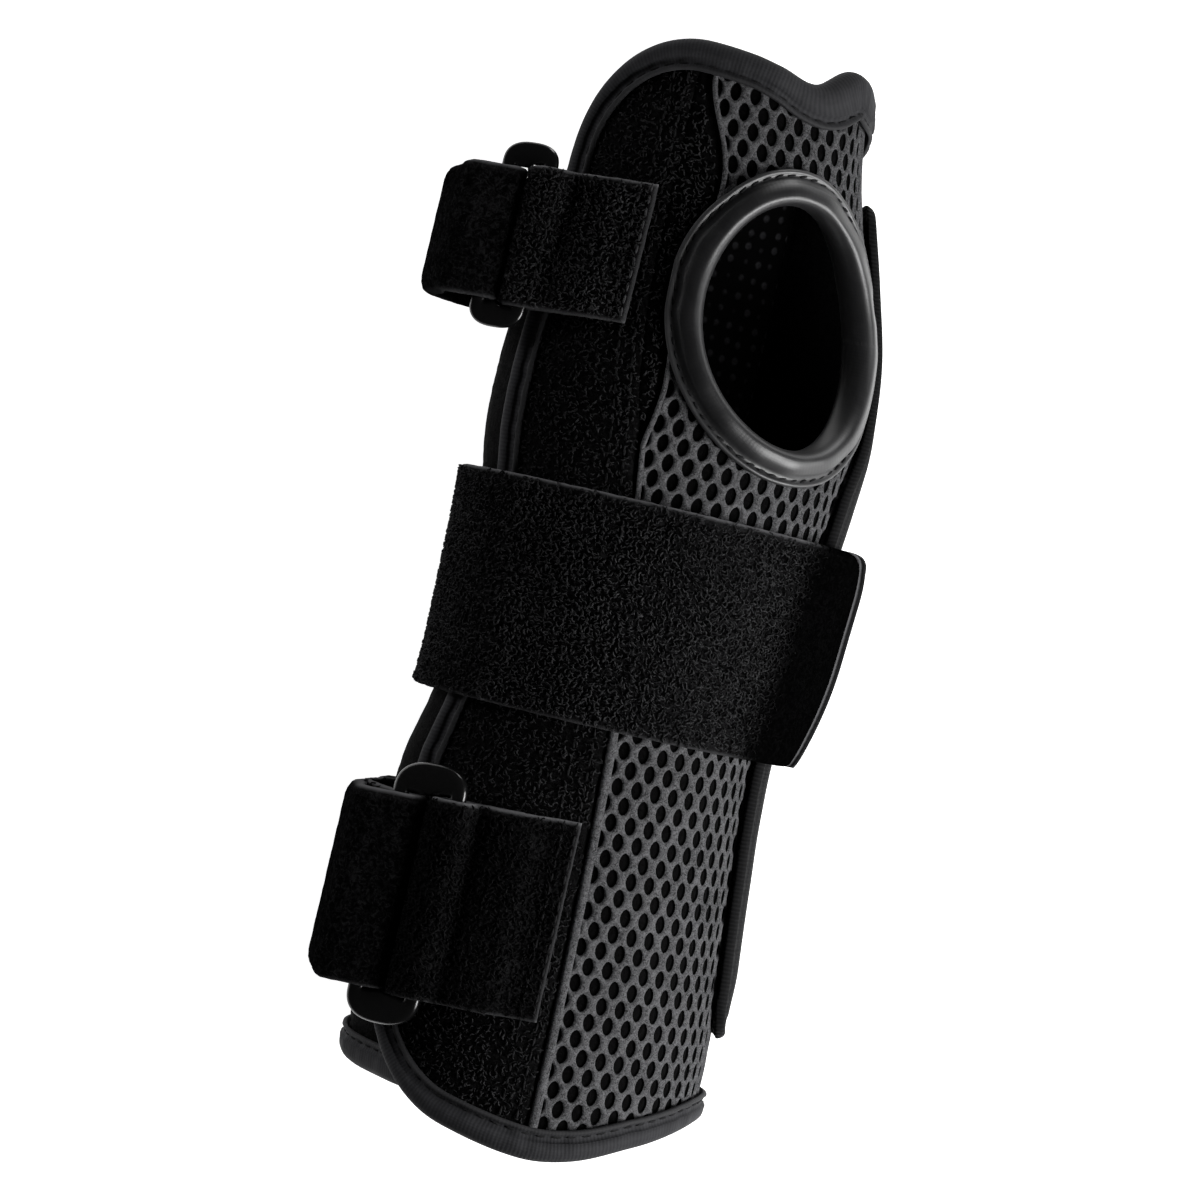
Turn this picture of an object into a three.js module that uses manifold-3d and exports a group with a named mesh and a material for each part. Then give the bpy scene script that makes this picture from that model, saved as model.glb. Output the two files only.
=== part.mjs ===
// A wrist brace: a padded sleeve with a thumb hole, wrapped round the forearm and closed on the left
// by two ring straps, with one wide wrap strap over the wrist.
//
// Millimetres. +Y runs along the forearm towards the fingers and +Z is up. The brace lies on its back
// on the plane z = 0, thumb hole upwards, and the origin is on that plane below the sleeve's middle.
//
// Places on the sleeve are given as (turn, y, lift): turn is the angle round the sleeve in degrees,
// 0 at the top, 90 on the right, 180 on the plane and 270 on the left; lift is the height above the
// sleeve's outer face.
import * as THREE from "three";
import { mergeVertices } from "three/addons/utils/BufferGeometryUtils.js";
import Module from "manifold-3d";

const { degToRad, lerp, smoothstep } = THREE.MathUtils;

// Driving dimensions
const WALL = 3; // padded cloth of the sleeve
const GAP = 0.3; // clearance between pieces that touch
const BINDING_GAP = 0.35; // clearance inside the folded binding, which bends with the wall
const STRAP = 1.8; // thickness of the strap webbing
const TAPE = 1; // thickness of the binding tape
const BINDING_WIDTH = 6.5; // from the bound edge to the tape's own edge
const THUMB_BINDING_WIDTH = 5.5;
const FLAT_HALF = 14; // half the width of the flattened underside
const SLEEVE_BASE = GAP + STRAP; // the straps pass under the sleeve
const FLAP_EDGE = -60; // free edge of the outer flap, as a turn
const TUCKED_EDGE = 332; // free edge of the inner flap, which lies under the outer one
const TUCK_DEPTH = 6; // how far the inner flap sinks below the outer one
const TUCK_FROM = 255; // the turns between which it sinks
const TUCK_TO = 297;
const PANEL_JOIN = 147; // where the mesh panel meets the back panel
const FLAP_CORNERS = { hand: 26, forearm: 22 }; // corner radii of the outer flap
const TUCKED_CORNERS = { hand: 12, forearm: 12 };
const OUTER_MM_PER_DEGREE = 0.6; // length along the outer flap for one degree of turn
const INNER_MM_PER_DEGREE = 0.5;

// Sections of the sleeve's outer face along the arm: half widths from the middle, and height
const SLEEVE = [
  { y: -110, left: 35.6, right: 32.6, height: 66 },
  { y: -88, left: 38.0, right: 34.8, height: 66 },
  { y: -50, left: 39.6, right: 32.2, height: 64 },
  { y: -38, left: 38.8, right: 31.3, height: 63 },
  { y: -23, left: 35.7, right: 31.0, height: 62 },
  { y: 0, left: 35.6, right: 32.5, height: 62 },
  { y: 18, left: 36.2, right: 34.6, height: 63 },
  { y: 29, left: 37.8, right: 35.6, height: 63.5 },
  { y: 42, left: 38.0, right: 36.5, height: 64 },
  { y: 57, left: 37.2, right: 35.2, height: 63 },
  { y: 72, left: 36.6, right: 31.4, height: 61 },
  { y: 92, left: 36.0, right: 25.8, height: 59 },
  { y: 112, left: 35.5, right: 23.0, height: 58 },
];

// Outer edge of the bound sleeve at the hand end and at the forearm end
const HAND_EDGE = [
  { turn: -60, y: 108 },
  { turn: -18, y: 108.8 },
  { turn: 12, y: 107 },
  { turn: 34, y: 105.8 },
  { turn: 54, y: 110.6 },
  { turn: 78, y: 108 },
  { turn: 110, y: 104 },
  { turn: 150, y: 102 },
  { turn: 190, y: 98 },
  { turn: 225, y: 90 },
  { turn: 255, y: 80 },
  { turn: 275, y: 76 },
  { turn: 332, y: 74 },
];
const FOREARM_EDGE = [
  { turn: -60, y: -99 },
  { turn: -22, y: -104.8 },
  { turn: 4, y: -107.2 },
  { turn: 22, y: -106 },
  { turn: 43, y: -102 },
  { turn: 75, y: -97.5 },
  { turn: 120, y: -98 },
  { turn: 240, y: -99 },
  { turn: 280, y: -101 },
  { turn: 332, y: -101 },
];

// Seam between the brushed loop panel and the mesh panel
const SEAM = [
  { y: -110, turn: 4.5 },
  { y: -30, turn: 2 },
  { y: 0, turn: -4 },
  { y: 18, turn: -7.5 },
  { y: 35, turn: -10.5 },
  { y: 50, turn: -14 },
  { y: 62, turn: -16 },
  { y: 112, turn: -17 },
];

// Lift of the hand end, which curls in beside the thumb hole and out again on the right: each curl is
// greatest at its turn, fades over its spread, and grows along y between the two ends
const HAND_CURLS = [
  { turn: 27, spread: 17, lift: -1.6 },
  { turn: 58, spread: 14, lift: 1 },
];
const HAND_CURL_FROM = 86;
const HAND_CURL_TO = 106;

// Thumb hole, an oval measured along the sleeve's face
const THUMB = { turn: 34.5, y: 58.5, halfRound: 20.3, halfLong: 23.2, lean: 8 };

// Pocket of the stay, on the palm side
const POCKET = { from: -80, to: 88, farTurn: 138, lift: 0.6, thickness: 1.8, corner: 8 };
const POCKET_NEAR = [
  { y: -82, turn: 75 },
  { y: 28, turn: 74 },
  { y: 46, turn: 85 },
  { y: 72, turn: 86 },
  { y: 90, turn: 80 },
];

// Wrap strap, and the free end that stands off the sleeve and then hangs: lengths of it, with their slopes
// below the horizontal
const WRAP = { from: -24.5, to: 19.5, sewn: 152, leaves: 360 + 42 };
const FREE_END = [
  { length: 9, slope: 41 },
  { length: 9.2, slope: 44 },
  { length: 4, slope: 56 },
  { length: 4, slope: 70 },
  { length: 5, slope: 79 },
  { length: 5, slope: 79 },
];
const WRAP_HOOK = { thickness: 1.2, length: 9 };

// Ring straps: band is the width of the tab and strapBand that of the strap. The tab is doubled from its
// fold, and both layers rise off the sleeve there by tabRise; backRise lifts the strap on the left side.
// The ring sits at (x, rise above the sleeve's middle). The loose end bulges left as far as reach, and its
// shoulder 9 mm above that lies so much further in. Slant is the rise in y for each mm to the right.
const RING_STRAPS = [
  {
    end: "hand",
    y: 65.5,
    band: 27.5,
    strapBand: 26,
    tabEnd: -21,
    tabFold: -40,
    tabRise: 1.4,
    backRise: 1.4,
    ring: { x: -38.5, rise: 22.5, tilt: 12, width: 11, barWide: 2.8, barThick: 2.2, cap: 2.8 },
    bulge: { reach: 55, rise: 6, shoulder: 2.2 },
    slant: 0.05,
  },
  {
    end: "forearm",
    y: -62.5,
    band: 38.5,
    strapBand: 37.6,
    tabEnd: -0.5,
    tabFold: -22,
    tabRise: 0.5,
    backRise: 0,
    ring: { x: -29.8, rise: 28.8, tilt: 20, width: 15, barWide: 3.2, barThick: 2.4, cap: 4.2 },
    bulge: { reach: 46.5, rise: 8, shoulder: 0.8 },
    slant: 0.05,
  },
];

const wasm = await Module();
wasm.setup();

// Smooth value of a table's column at a place along its key column
function readTable(table, key, column, at) {
  const last = table.length - 1;
  if (at <= table[0][key]) return table[0][column];
  if (at >= table[last][key]) return table[last][column];
  const i = table.findIndex((row) => row[key] > at) - 1;
  const slope = (n) => {
    const before = table[Math.max(n - 1, 0)];
    const after = table[Math.min(n + 1, last)];
    return (after[column] - before[column]) / (after[key] - before[key]);
  };
  const span = table[i + 1][key] - table[i][key];
  const t = (at - table[i][key]) / span;
  const blend = t * t * (3 - 2 * t);
  return (
    lerp(table[i][column], table[i + 1][column], blend) +
    span * (slope(i) * t * (1 - t) ** 2 - slope(i + 1) * t * t * (1 - t))
  );
}

const middleHeight = (y) => SLEEVE_BASE + readTable(SLEEVE, "y", "height", y) / 2;

// Point of the sleeve's round section: an ellipse above, elliptical corners and a flat underside below
function roundPoint(turn, y, lift) {
  const angle = ((turn % 360) + 360) % 360;
  const side = angle > 180 ? -1 : 1;
  const fold = angle > 180 ? 360 - angle : angle;
  const half = readTable(SLEEVE, "y", side < 0 ? "left" : "right", y) + lift;
  const middle = middleHeight(y);
  const rise = middle - SLEEVE_BASE + lift;
  if (fold <= 90) {
    const a = degToRad(fold);
    return new THREE.Vector3(side * half * Math.sin(a), y, middle + rise * Math.cos(a));
  }
  if (fold <= 150) {
    const a = degToRad((fold - 90) * 1.5);
    const corner = half - FLAT_HALF;
    return new THREE.Vector3(side * (FLAT_HALF + corner * Math.cos(a)), y, middle - rise * Math.sin(a));
  }
  return new THREE.Vector3((side * FLAT_HALF * (180 - fold)) / 30, y, middle - rise);
}

function handCurl(turn, y) {
  const curls = HAND_CURLS.map((curl) => curl.lift * Math.exp(-(((turn - curl.turn) / curl.spread) ** 2)));
  return (curls[0] + curls[1]) * smoothstep(y, HAND_CURL_FROM, HAND_CURL_TO);
}

// Point of the wrapped sleeve, whose inner flap sinks below the outer one
function sleevePoint(turn, y, lift) {
  const tuck = TUCK_DEPTH * smoothstep(turn, TUCK_FROM, TUCK_TO);
  return roundPoint(turn, y, lift - tuck + handCurl(turn, y));
}

const cornerDrop = (distance, radius) =>
  distance >= radius ? 0 : radius - Math.sqrt(radius ** 2 - (radius - Math.max(distance, 0)) ** 2);

// How far the sleeve's edge at one end is drawn in by the rounded corners of the two flaps
function cornerInset(turn, end, margin) {
  const fromFlap = (turn - FLAP_EDGE) * OUTER_MM_PER_DEGREE - margin;
  const fromTuck = (TUCKED_EDGE - turn) * INNER_MM_PER_DEGREE - margin;
  return (
    cornerDrop(fromFlap, FLAP_CORNERS[end] - margin) + cornerDrop(fromTuck, TUCKED_CORNERS[end] - margin)
  );
}
const handEdge = (turn, margin = 0) =>
  readTable(HAND_EDGE, "turn", "y", turn) - margin - cornerInset(turn, "hand", margin);
const forearmEdge = (turn, margin = 0) =>
  readTable(FOREARM_EDGE, "turn", "y", turn) + margin + cornerInset(turn, "forearm", margin);

// Closed solid from vertices and faces, with its faces turned outwards
function solidGeometry(vertices, faces) {
  const triangles = faces.flatMap(([a, b, c, d]) => (d === undefined ? [[a, b, c]] : [[a, b, c], [a, c, d]]));
  const volume = triangles.reduce(
    (sum, [a, b, c]) => sum + vertices[a].dot(new THREE.Vector3().crossVectors(vertices[b], vertices[c])),
    0,
  );
  const geometry = new THREE.BufferGeometry().setFromPoints(vertices);
  geometry.setIndex(triangles.flatMap(([a, b, c]) => (volume > 0 ? [a, b, c] : [a, c, b])));
  geometry.computeVertexNormals();
  return geometry;
}

// Thick sheet: place(i, j, side) gives the point of column i and row j on face 0 or face 1
function sheetGeometry(columns, rows, place) {
  const vertices = [];
  const faces = [];
  const at = (i, j, side) => (i * rows + j) * 2 + side;
  for (let i = 0; i < columns; i++)
    for (let j = 0; j < rows; j++) vertices.push(place(i, j, 0), place(i, j, 1));
  for (let i = 0; i + 1 < columns; i++)
    for (let j = 0; j + 1 < rows; j++) {
      faces.push([at(i, j, 1), at(i + 1, j, 1), at(i + 1, j + 1, 1), at(i, j + 1, 1)]);
      faces.push([at(i, j, 0), at(i, j + 1, 0), at(i + 1, j + 1, 0), at(i + 1, j, 0)]);
    }
  for (let i = 0; i + 1 < columns; i++) {
    faces.push([at(i, 0, 0), at(i + 1, 0, 0), at(i + 1, 0, 1), at(i, 0, 1)]);
    faces.push([at(i, rows - 1, 1), at(i + 1, rows - 1, 1), at(i + 1, rows - 1, 0), at(i, rows - 1, 0)]);
  }
  const last = columns - 1;
  for (let j = 0; j + 1 < rows; j++) {
    faces.push([at(0, j, 1), at(0, j + 1, 1), at(0, j + 1, 0), at(0, j, 0)]);
    faces.push([at(last, j, 0), at(last, j + 1, 0), at(last, j + 1, 1), at(last, j, 1)]);
  }
  return solidGeometry(vertices, faces);
}

// Closed loop of a section: place(i, k) gives point k of the section at step i
function loopGeometry(steps, sides, place) {
  const vertices = [];
  const faces = [];
  for (let i = 0; i < steps; i++) for (let k = 0; k < sides; k++) vertices.push(place(i, k));
  const at = (i, k) => (i % steps) * sides + (k % sides);
  for (let i = 0; i < steps; i++)
    for (let k = 0; k < sides; k++) faces.push([at(i, k), at(i + 1, k), at(i + 1, k + 1), at(i, k + 1)]);
  return solidGeometry(vertices, faces);
}

function toManifold(geometry) {
  const bare = new THREE.BufferGeometry();
  bare.setAttribute("position", geometry.getAttribute("position"));
  bare.setIndex(geometry.index);
  const merged = mergeVertices(bare, 1e-4);
  return new wasm.Manifold(
    new wasm.Mesh({
      numProp: 3,
      vertProperties: merged.getAttribute("position").array,
      triVerts: new Uint32Array(merged.index.array),
    }),
  );
}

function fromManifold(solid) {
  const mesh = solid.getMesh();
  const geometry = new THREE.BufferGeometry();
  geometry.setAttribute("position", new THREE.BufferAttribute(mesh.vertProperties, 3));
  geometry.setIndex(new THREE.BufferAttribute(mesh.triVerts, 1));
  return geometry;
}

// Panel of the sleeve between two turns, which may change along y
function panelGeometry(fromTurn, toTurn, columns, rows) {
  const margin = TAPE + 2 * GAP;
  return sheetGeometry(columns, rows, (i, j, side) => {
    let y = 0;
    let turn = 0;
    for (let pass = 0; pass < 4; pass++) {
      turn = lerp(fromTurn(y), toTurn(y), i / (columns - 1));
      y = lerp(forearmEdge(turn, margin), handEdge(turn, margin), j / (rows - 1));
    }
    return sleevePoint(turn, y, side ? 0 : -WALL);
  });
}

// Length along the sleeve's face for one degree of turn
const mmPerDegree = (turn, y) => sleevePoint(turn - 0.5, y, 0).distanceTo(sleevePoint(turn + 0.5, y, 0));

// Folded binding tape: a U round the edge of the wall, following a closed path of (turn, y) on the sleeve.
// The U opens to the right of the way the path runs.
function bindingGeometry(path, width) {
  const inside = WALL / 2 + BINDING_GAP;
  const outside = inside + TAPE;
  const section = [
    { inward: width, lift: outside },
    { inward: 0, lift: outside },
    { inward: 0, lift: -outside },
    { inward: width, lift: -outside },
    { inward: width, lift: -inside },
    { inward: TAPE, lift: -inside },
    { inward: TAPE, lift: inside },
    { inward: width, lift: inside },
  ];
  const steps = path.length;
  return loopGeometry(steps, section.length, (i, k) => {
    const here = path[i];
    const next = path[(i + 1) % steps];
    const before = path[(i + steps - 1) % steps];
    const scale = mmPerDegree(here.turn, here.y);
    const run = new THREE.Vector2((next.turn - before.turn) * scale, next.y - before.y).normalize();
    const { inward, lift } = section[k];
    return sleevePoint(here.turn + (run.y * inward) / scale, here.y - run.x * inward, lift - WALL / 2);
  });
}

// Evenly spaced numbers from low to high, both included
const spread = (low, high, count) =>
  Array.from({ length: count }, (_, i) => lerp(low, high, i / (count - 1)));

// Closed path round the whole sleeve: hand end, tucked edge, forearm end and the outer flap's free edge
function sleeveOutline() {
  const endTurns = (end) => {
    const quarter = spread(0, Math.PI / 2, 10).map((a) => 1 - Math.cos(a));
    const flap = quarter.map((q) => FLAP_EDGE + (q * FLAP_CORNERS[end]) / OUTER_MM_PER_DEGREE);
    const tuck = quarter.map((q) => TUCKED_EDGE - (q * TUCKED_CORNERS[end]) / INNER_MM_PER_DEGREE).reverse();
    return [...flap, ...spread(flap.at(-1), tuck[0], 38).slice(1, -1), ...tuck];
  };
  const hand = endTurns("hand").map((turn) => ({ turn, y: handEdge(turn) }));
  const forearm = endTurns("forearm")
    .reverse()
    .map((turn) => ({ turn, y: forearmEdge(turn) }));
  const side = (turn, from, to, count) =>
    spread(from, to, count)
      .slice(1, -1)
      .map((y) => ({ turn, y }));
  return [
    ...hand,
    ...side(TUCKED_EDGE, hand.at(-1).y, forearm[0].y, 14),
    ...forearm,
    ...side(FLAP_EDGE, forearm.at(-1).y, hand[0].y, 14),
  ];
}

// Closed path round the thumb hole, run so that the tape's right side is away from the hole
function thumbOutline(steps) {
  const scale = mmPerDegree(THUMB.turn, THUMB.y);
  const lean = degToRad(THUMB.lean);
  return spread(0, 2 * Math.PI, steps + 1)
    .slice(0, -1)
    .map((a) => {
      const round = THUMB.halfRound * Math.cos(a);
      const long = THUMB.halfLong * Math.sin(a);
      return {
        turn: THUMB.turn + (round * Math.cos(lean) + long * -Math.sin(lean)) / scale,
        y: THUMB.y + long * Math.cos(lean) + round * Math.sin(lean) * 0.5,
      };
    });
}

// Plug that cuts the thumb hole, a little larger than the bound opening
function thumbPlug() {
  const outline = thumbOutline(40);
  const grow = (size) => 1 + (TAPE + 2 * GAP) / size;
  const rim = outline.map(({ turn, y }) => ({
    turn: THUMB.turn + (turn - THUMB.turn) * grow(THUMB.halfRound),
    y: THUMB.y + (y - THUMB.y) * grow(THUMB.halfLong),
  }));
  const heights = [-12, 7];
  const vertices = heights.flatMap((lift) => rim.map(({ turn, y }) => sleevePoint(turn, y, lift)));
  const faces = [];
  const count = rim.length;
  heights.forEach((lift, level) => {
    const hub = vertices.push(sleevePoint(THUMB.turn, THUMB.y, lift)) - 1;
    rim.forEach((_, i) => {
      const edge = [level * count + i, level * count + ((i + 1) % count)];
      faces.push(level ? [hub, edge[0], edge[1]] : [hub, edge[1], edge[0]]);
    });
  });
  rim.forEach((_, i) => {
    const j = (i + 1) % count;
    faces.push([i, j, count + j, count + i]);
  });
  return solidGeometry(vertices, faces);
}

// Flat pocket of the stay, with rounded ends
function pocketGeometry() {
  const columns = 7;
  const rows = 19;
  return sheetGeometry(columns, rows, (i, j, side) => {
    const across = i / (columns - 1);
    const edge = Math.min(across, 1 - across) * (POCKET.farTurn - 75) * OUTER_MM_PER_DEGREE;
    const drop = cornerDrop(edge, POCKET.corner);
    const y = lerp(POCKET.from + drop, POCKET.to - drop, j / (rows - 1));
    const turn = lerp(readTable(POCKET_NEAR, "y", "turn", y), POCKET.farTurn, across);
    return sleevePoint(turn, y, POCKET.lift + (side ? POCKET.thickness : 0));
  });
}

// Ribbon of webbing whose centre line in the XZ plane is line(y), swept over the rows in y
function ribbonGeometry(ys, line, thickness) {
  const lines = ys.map((y) => line(y));
  return sheetGeometry(lines[0].length, ys.length, (i, j, side) => {
    const points = lines[j];
    const before = points[Math.max(i - 1, 0)];
    const after = points[Math.min(i + 1, points.length - 1)];
    const run = after.clone().sub(before).setY(0).normalize();
    const out = new THREE.Vector3(-run.z, 0, run.x);
    return points[i].clone().addScaledVector(out, (side - 0.5) * thickness);
  });
}

const smoothLine = (points) =>
  new THREE.CatmullRomCurve3(points, false, "centripetal").getPoints((points.length - 1) * 2);

// Wrap strap: from its sewn end under the brace, up the left side, over the flap's binding and the top,
// off the sleeve on the right, and down
function wrapLine(y) {
  const lift = GAP + STRAP / 2;
  const points = spread(WRAP.sewn, WRAP.leaves, 43).map((turn) => {
    const overBinding = smoothstep(turn, 240, 292) * (1 - smoothstep(turn, 314, 332));
    return roundPoint(turn, y, lift + overBinding * (TAPE + 2 * GAP));
  });
  for (const { length, slope } of FREE_END) {
    const run = new THREE.Vector3(Math.cos(degToRad(slope)), 0, -Math.sin(degToRad(slope)));
    points.push(points.at(-1).clone().addScaledVector(run, length));
  }
  return points;
}

// Hook patch under the strap's last stretch
function wrapHookLine(y) {
  const whole = wrapLine(y);
  const run = whole.at(-1).clone().sub(whole.at(-2)).normalize();
  const under = new THREE.Vector3(run.z, 0, -run.x).multiplyScalar((STRAP + WRAP_HOOK.thickness) / 2 + GAP);
  const tip = whole.at(-1).add(under);
  return spread(WRAP_HOOK.length, 0, 3).map((d) => tip.clone().addScaledVector(run, -d));
}

// Frame of a ring: its middle, the way from the tab's bar to the strap's bar, and the way out of its plane
function ringFrame({ ring, y }) {
  const tilt = degToRad(ring.tilt);
  return {
    middle: new THREE.Vector3(ring.x, y, middleHeight(y) + ring.rise),
    across: new THREE.Vector3(-Math.cos(tilt), 0, -Math.sin(tilt)),
    out: new THREE.Vector3(-Math.sin(tilt), 0, Math.cos(tilt)),
    barAt: (ring.width - ring.barWide) / 2,
  };
}

// Every point of a ring strap's webbing is shifted along y as the strap slants
const slanted = (strap, point) => point.setY(point.y + strap.slant * (point.x + 12));
function slantedRoundPoint(strap, turn, y, lift) {
  const shift = slanted(strap, roundPoint(turn, y, lift)).y;
  return roundPoint(turn, shift, lift);
}

// Half turn of webbing round one bar of a ring, through the slot: side is 1 for the strap's bar and
// -1 for the tab's
function turnRoundBar(strap, side, y) {
  const { middle, across, out, barAt } = ringFrame(strap);
  const clear = GAP + STRAP / 2;
  const bar = middle.clone().setY(y).addScaledVector(across, side * barAt);
  const beside = (alongRing, above) =>
    slanted(strap, bar.clone().addScaledVector(across, -side * alongRing).addScaledVector(out, above));
  const wide = strap.ring.barWide / 2 + clear;
  const high = strap.ring.barThick / 2 + clear;
  const angles = spread(-Math.PI / 2, Math.PI / 2, 7);
  const turn = angles.map((a) => beside(wide * Math.cos(a), high * Math.sin(a)));
  return [...turn, beside(-strap.ring.barWide / 2 - GAP, high)];
}

// Strap through a ring: sewn under the brace, up the left side, round the strap's bar, and loosely back
function ringStrapLine(strap, y) {
  const { middle, across, out, barAt } = ringFrame(strap);
  const lie = GAP + STRAP / 2;
  const doubled = lie + STRAP + 2 * GAP;
  const on = (turn, lift) => slantedRoundPoint(strap, turn, y, lift);
  const bar = middle.clone().setY(y).addScaledVector(across, barAt);
  const overBar = bar
    .clone()
    .addScaledVector(across, 6)
    .addScaledVector(out, strap.ring.barThick / 2 + GAP + STRAP / 2 + 0.4);
  const reach = new THREE.Vector3(-strap.bulge.reach + STRAP / 2, y, middleHeight(y) + strap.bulge.rise);
  const lying = [152, 180, 208, 213, 218, 223, 228, 233];
  const { backRise } = strap;
  return smoothLine([
    ...lying.map((turn) => on(turn, lie)),
    on(241, lie + backRise),
    on(252, lie + 0.5 + backRise),
    on(264, lie + 1.4 + backRise / 2),
    on(277, lie + 2.6),
    ...turnRoundBar(strap, 1, y),
    slanted(strap, overBar),
    slanted(strap, reach.clone().add(new THREE.Vector3(strap.bulge.shoulder, 0, 9))),
    slanted(strap, reach),
    slanted(strap, reach.clone().add(new THREE.Vector3(2.6, 0, -9))),
    on(249, doubled + 1.4 + backRise),
    on(241, doubled + backRise),
    on(234, doubled + backRise / 2),
    on(228, doubled),
  ]);
}

// Tab that holds a ring: doubled round the tab's bar, with its upper layer sewn further along the panel
function tabLine(strap, y) {
  const lie = GAP + STRAP / 2;
  const on = (turn, lift) => slantedRoundPoint(strap, turn, y, lift);
  const { tabEnd, tabFold, tabRise } = strap;
  const doubled = lie + STRAP + GAP;
  return smoothLine([
    on(tabFold + 6, lie),
    on(tabFold, lie + tabRise / 6),
    on(tabFold - 6, lie + tabRise * 0.9),
    on(tabFold - 10, lie + tabRise),
    ...turnRoundBar(strap, -1, y),
    on(tabFold - 5, doubled + tabRise),
    on(tabFold, doubled + 0.3 + tabRise / 3),
    on(tabFold + 5, doubled),
    on(tabFold + 8.5, doubled - 0.3),
    on(tabFold + 12, lie + 0.5),
    ...spread(tabFold + 15, tabEnd, 3).map((turn) => on(turn, lie)),
  ]);
}

// Moulded ring: two straight bars and two shallow end caps, of one rounded section
function ringGeometry(strap) {
  const { ring, strapBand, band } = strap;
  const { middle, across, out, barAt } = ringFrame(strap);
  const straight = Math.max(strapBand, band) / 2 + GAP;
  const cap = spread(0, Math.PI, 11);
  const half = cap.map((a) => ({ u: barAt * Math.cos(a), v: straight + ring.cap * Math.sin(a) }));
  const bar = spread(straight, -straight, 5)
    .slice(1, -1)
    .map((v) => ({ u: -barAt, v }));
  const opposite = ({ u, v }) => ({ u: -u, v: -v });
  const outline = [...half, ...bar, ...half.map(opposite), ...bar.map(opposite)];
  const steps = outline.length;
  const section = spread(0, 2 * Math.PI, 7).slice(0, -1);
  return loopGeometry(steps, section.length, (i, k) => {
    const here = outline[i];
    const next = outline[(i + 1) % steps];
    const before = outline[(i + steps - 1) % steps];
    const side = new THREE.Vector2(next.v - before.v, before.u - next.u).normalize();
    const wide = (ring.barWide / 2) * Math.cos(section[k]);
    const point = middle
      .clone()
      .addScaledVector(across, here.u + side.x * wide)
      .addScaledVector(out, (ring.barThick / 2) * Math.sin(section[k]));
    point.y += here.v + side.y * wide;
    return slanted(strap, point);
  });
}

const CLOTH = {
  loop: new THREE.MeshStandardMaterial({ color: 0x141416, roughness: 0.95, metalness: 0 }),
  mesh: new THREE.MeshStandardMaterial({ color: 0x3b3c40, roughness: 0.85, metalness: 0 }),
  webbing: new THREE.MeshStandardMaterial({ color: 0x111113, roughness: 0.95, metalness: 0 }),
  tape: new THREE.MeshStandardMaterial({ color: 0x232427, roughness: 0.7, metalness: 0 }),
  satin: new THREE.MeshStandardMaterial({ color: 0x2a2c30, roughness: 0.45, metalness: 0 }),
  plastic: new THREE.MeshStandardMaterial({ color: 0x0c0c0d, roughness: 0.3, metalness: 0 }),
};

const brace = new THREE.Group();
function addPiece(name, geometry, material) {
  const mesh = new THREE.Mesh(geometry, material);
  mesh.name = name;
  brace.add(mesh);
}

// Sleeve panels
const seamTurn = (y) => readTable(SEAM, "y", "turn", y);
const edgeStep = (TAPE + GAP) / OUTER_MM_PER_DEGREE;
const joinStep = GAP / 2 / OUTER_MM_PER_DEGREE;
addPiece(
  "loop_panel",
  panelGeometry(() => FLAP_EDGE + edgeStep, (y) => seamTurn(y) - joinStep, 12, 15),
  CLOTH.loop,
);
const meshBlank = panelGeometry((y) => seamTurn(y) + joinStep, () => PANEL_JOIN - joinStep, 22, 21);
const meshPanel = toManifold(meshBlank).subtract(toManifold(thumbPlug()));
addPiece("mesh_panel", fromManifold(meshPanel), CLOTH.mesh);
addPiece(
  "back_panel",
  panelGeometry(() => PANEL_JOIN + joinStep, () => TUCKED_EDGE - (TAPE + GAP) / INNER_MM_PER_DEGREE, 26, 14),
  CLOTH.loop,
);

// Bindings and pocket
addPiece("edge_binding", bindingGeometry(sleeveOutline(), BINDING_WIDTH), CLOTH.tape);
addPiece("thumb_binding", bindingGeometry(thumbOutline(36), THUMB_BINDING_WIDTH), CLOTH.satin);
addPiece("stay_pocket", pocketGeometry(), CLOTH.loop);

// Wrap strap and the hook patch on its free end
const wrapRows = spread(WRAP.from, WRAP.to, 3);
addPiece("wrap_strap", ribbonGeometry(wrapRows, wrapLine, STRAP), CLOTH.webbing);
addPiece("wrap_hook", ribbonGeometry(wrapRows, wrapHookLine, WRAP_HOOK.thickness), CLOTH.webbing);

// Ring straps with their tabs and rings
for (const strap of RING_STRAPS) {
  const rows = (width) => spread(strap.y - width / 2, strap.y + width / 2, 4);
  addPiece(`${strap.end}_tab`, ribbonGeometry(rows(strap.band), (y) => tabLine(strap, y), STRAP), CLOTH.loop);
  addPiece(`${strap.end}_ring`, ringGeometry(strap), CLOTH.plastic);
  addPiece(
    `${strap.end}_strap`,
    ribbonGeometry(rows(strap.strapBand), (y) => ringStrapLine(strap, y), STRAP),
    CLOTH.webbing,
  );
}

export default brace;
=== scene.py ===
import math

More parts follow.
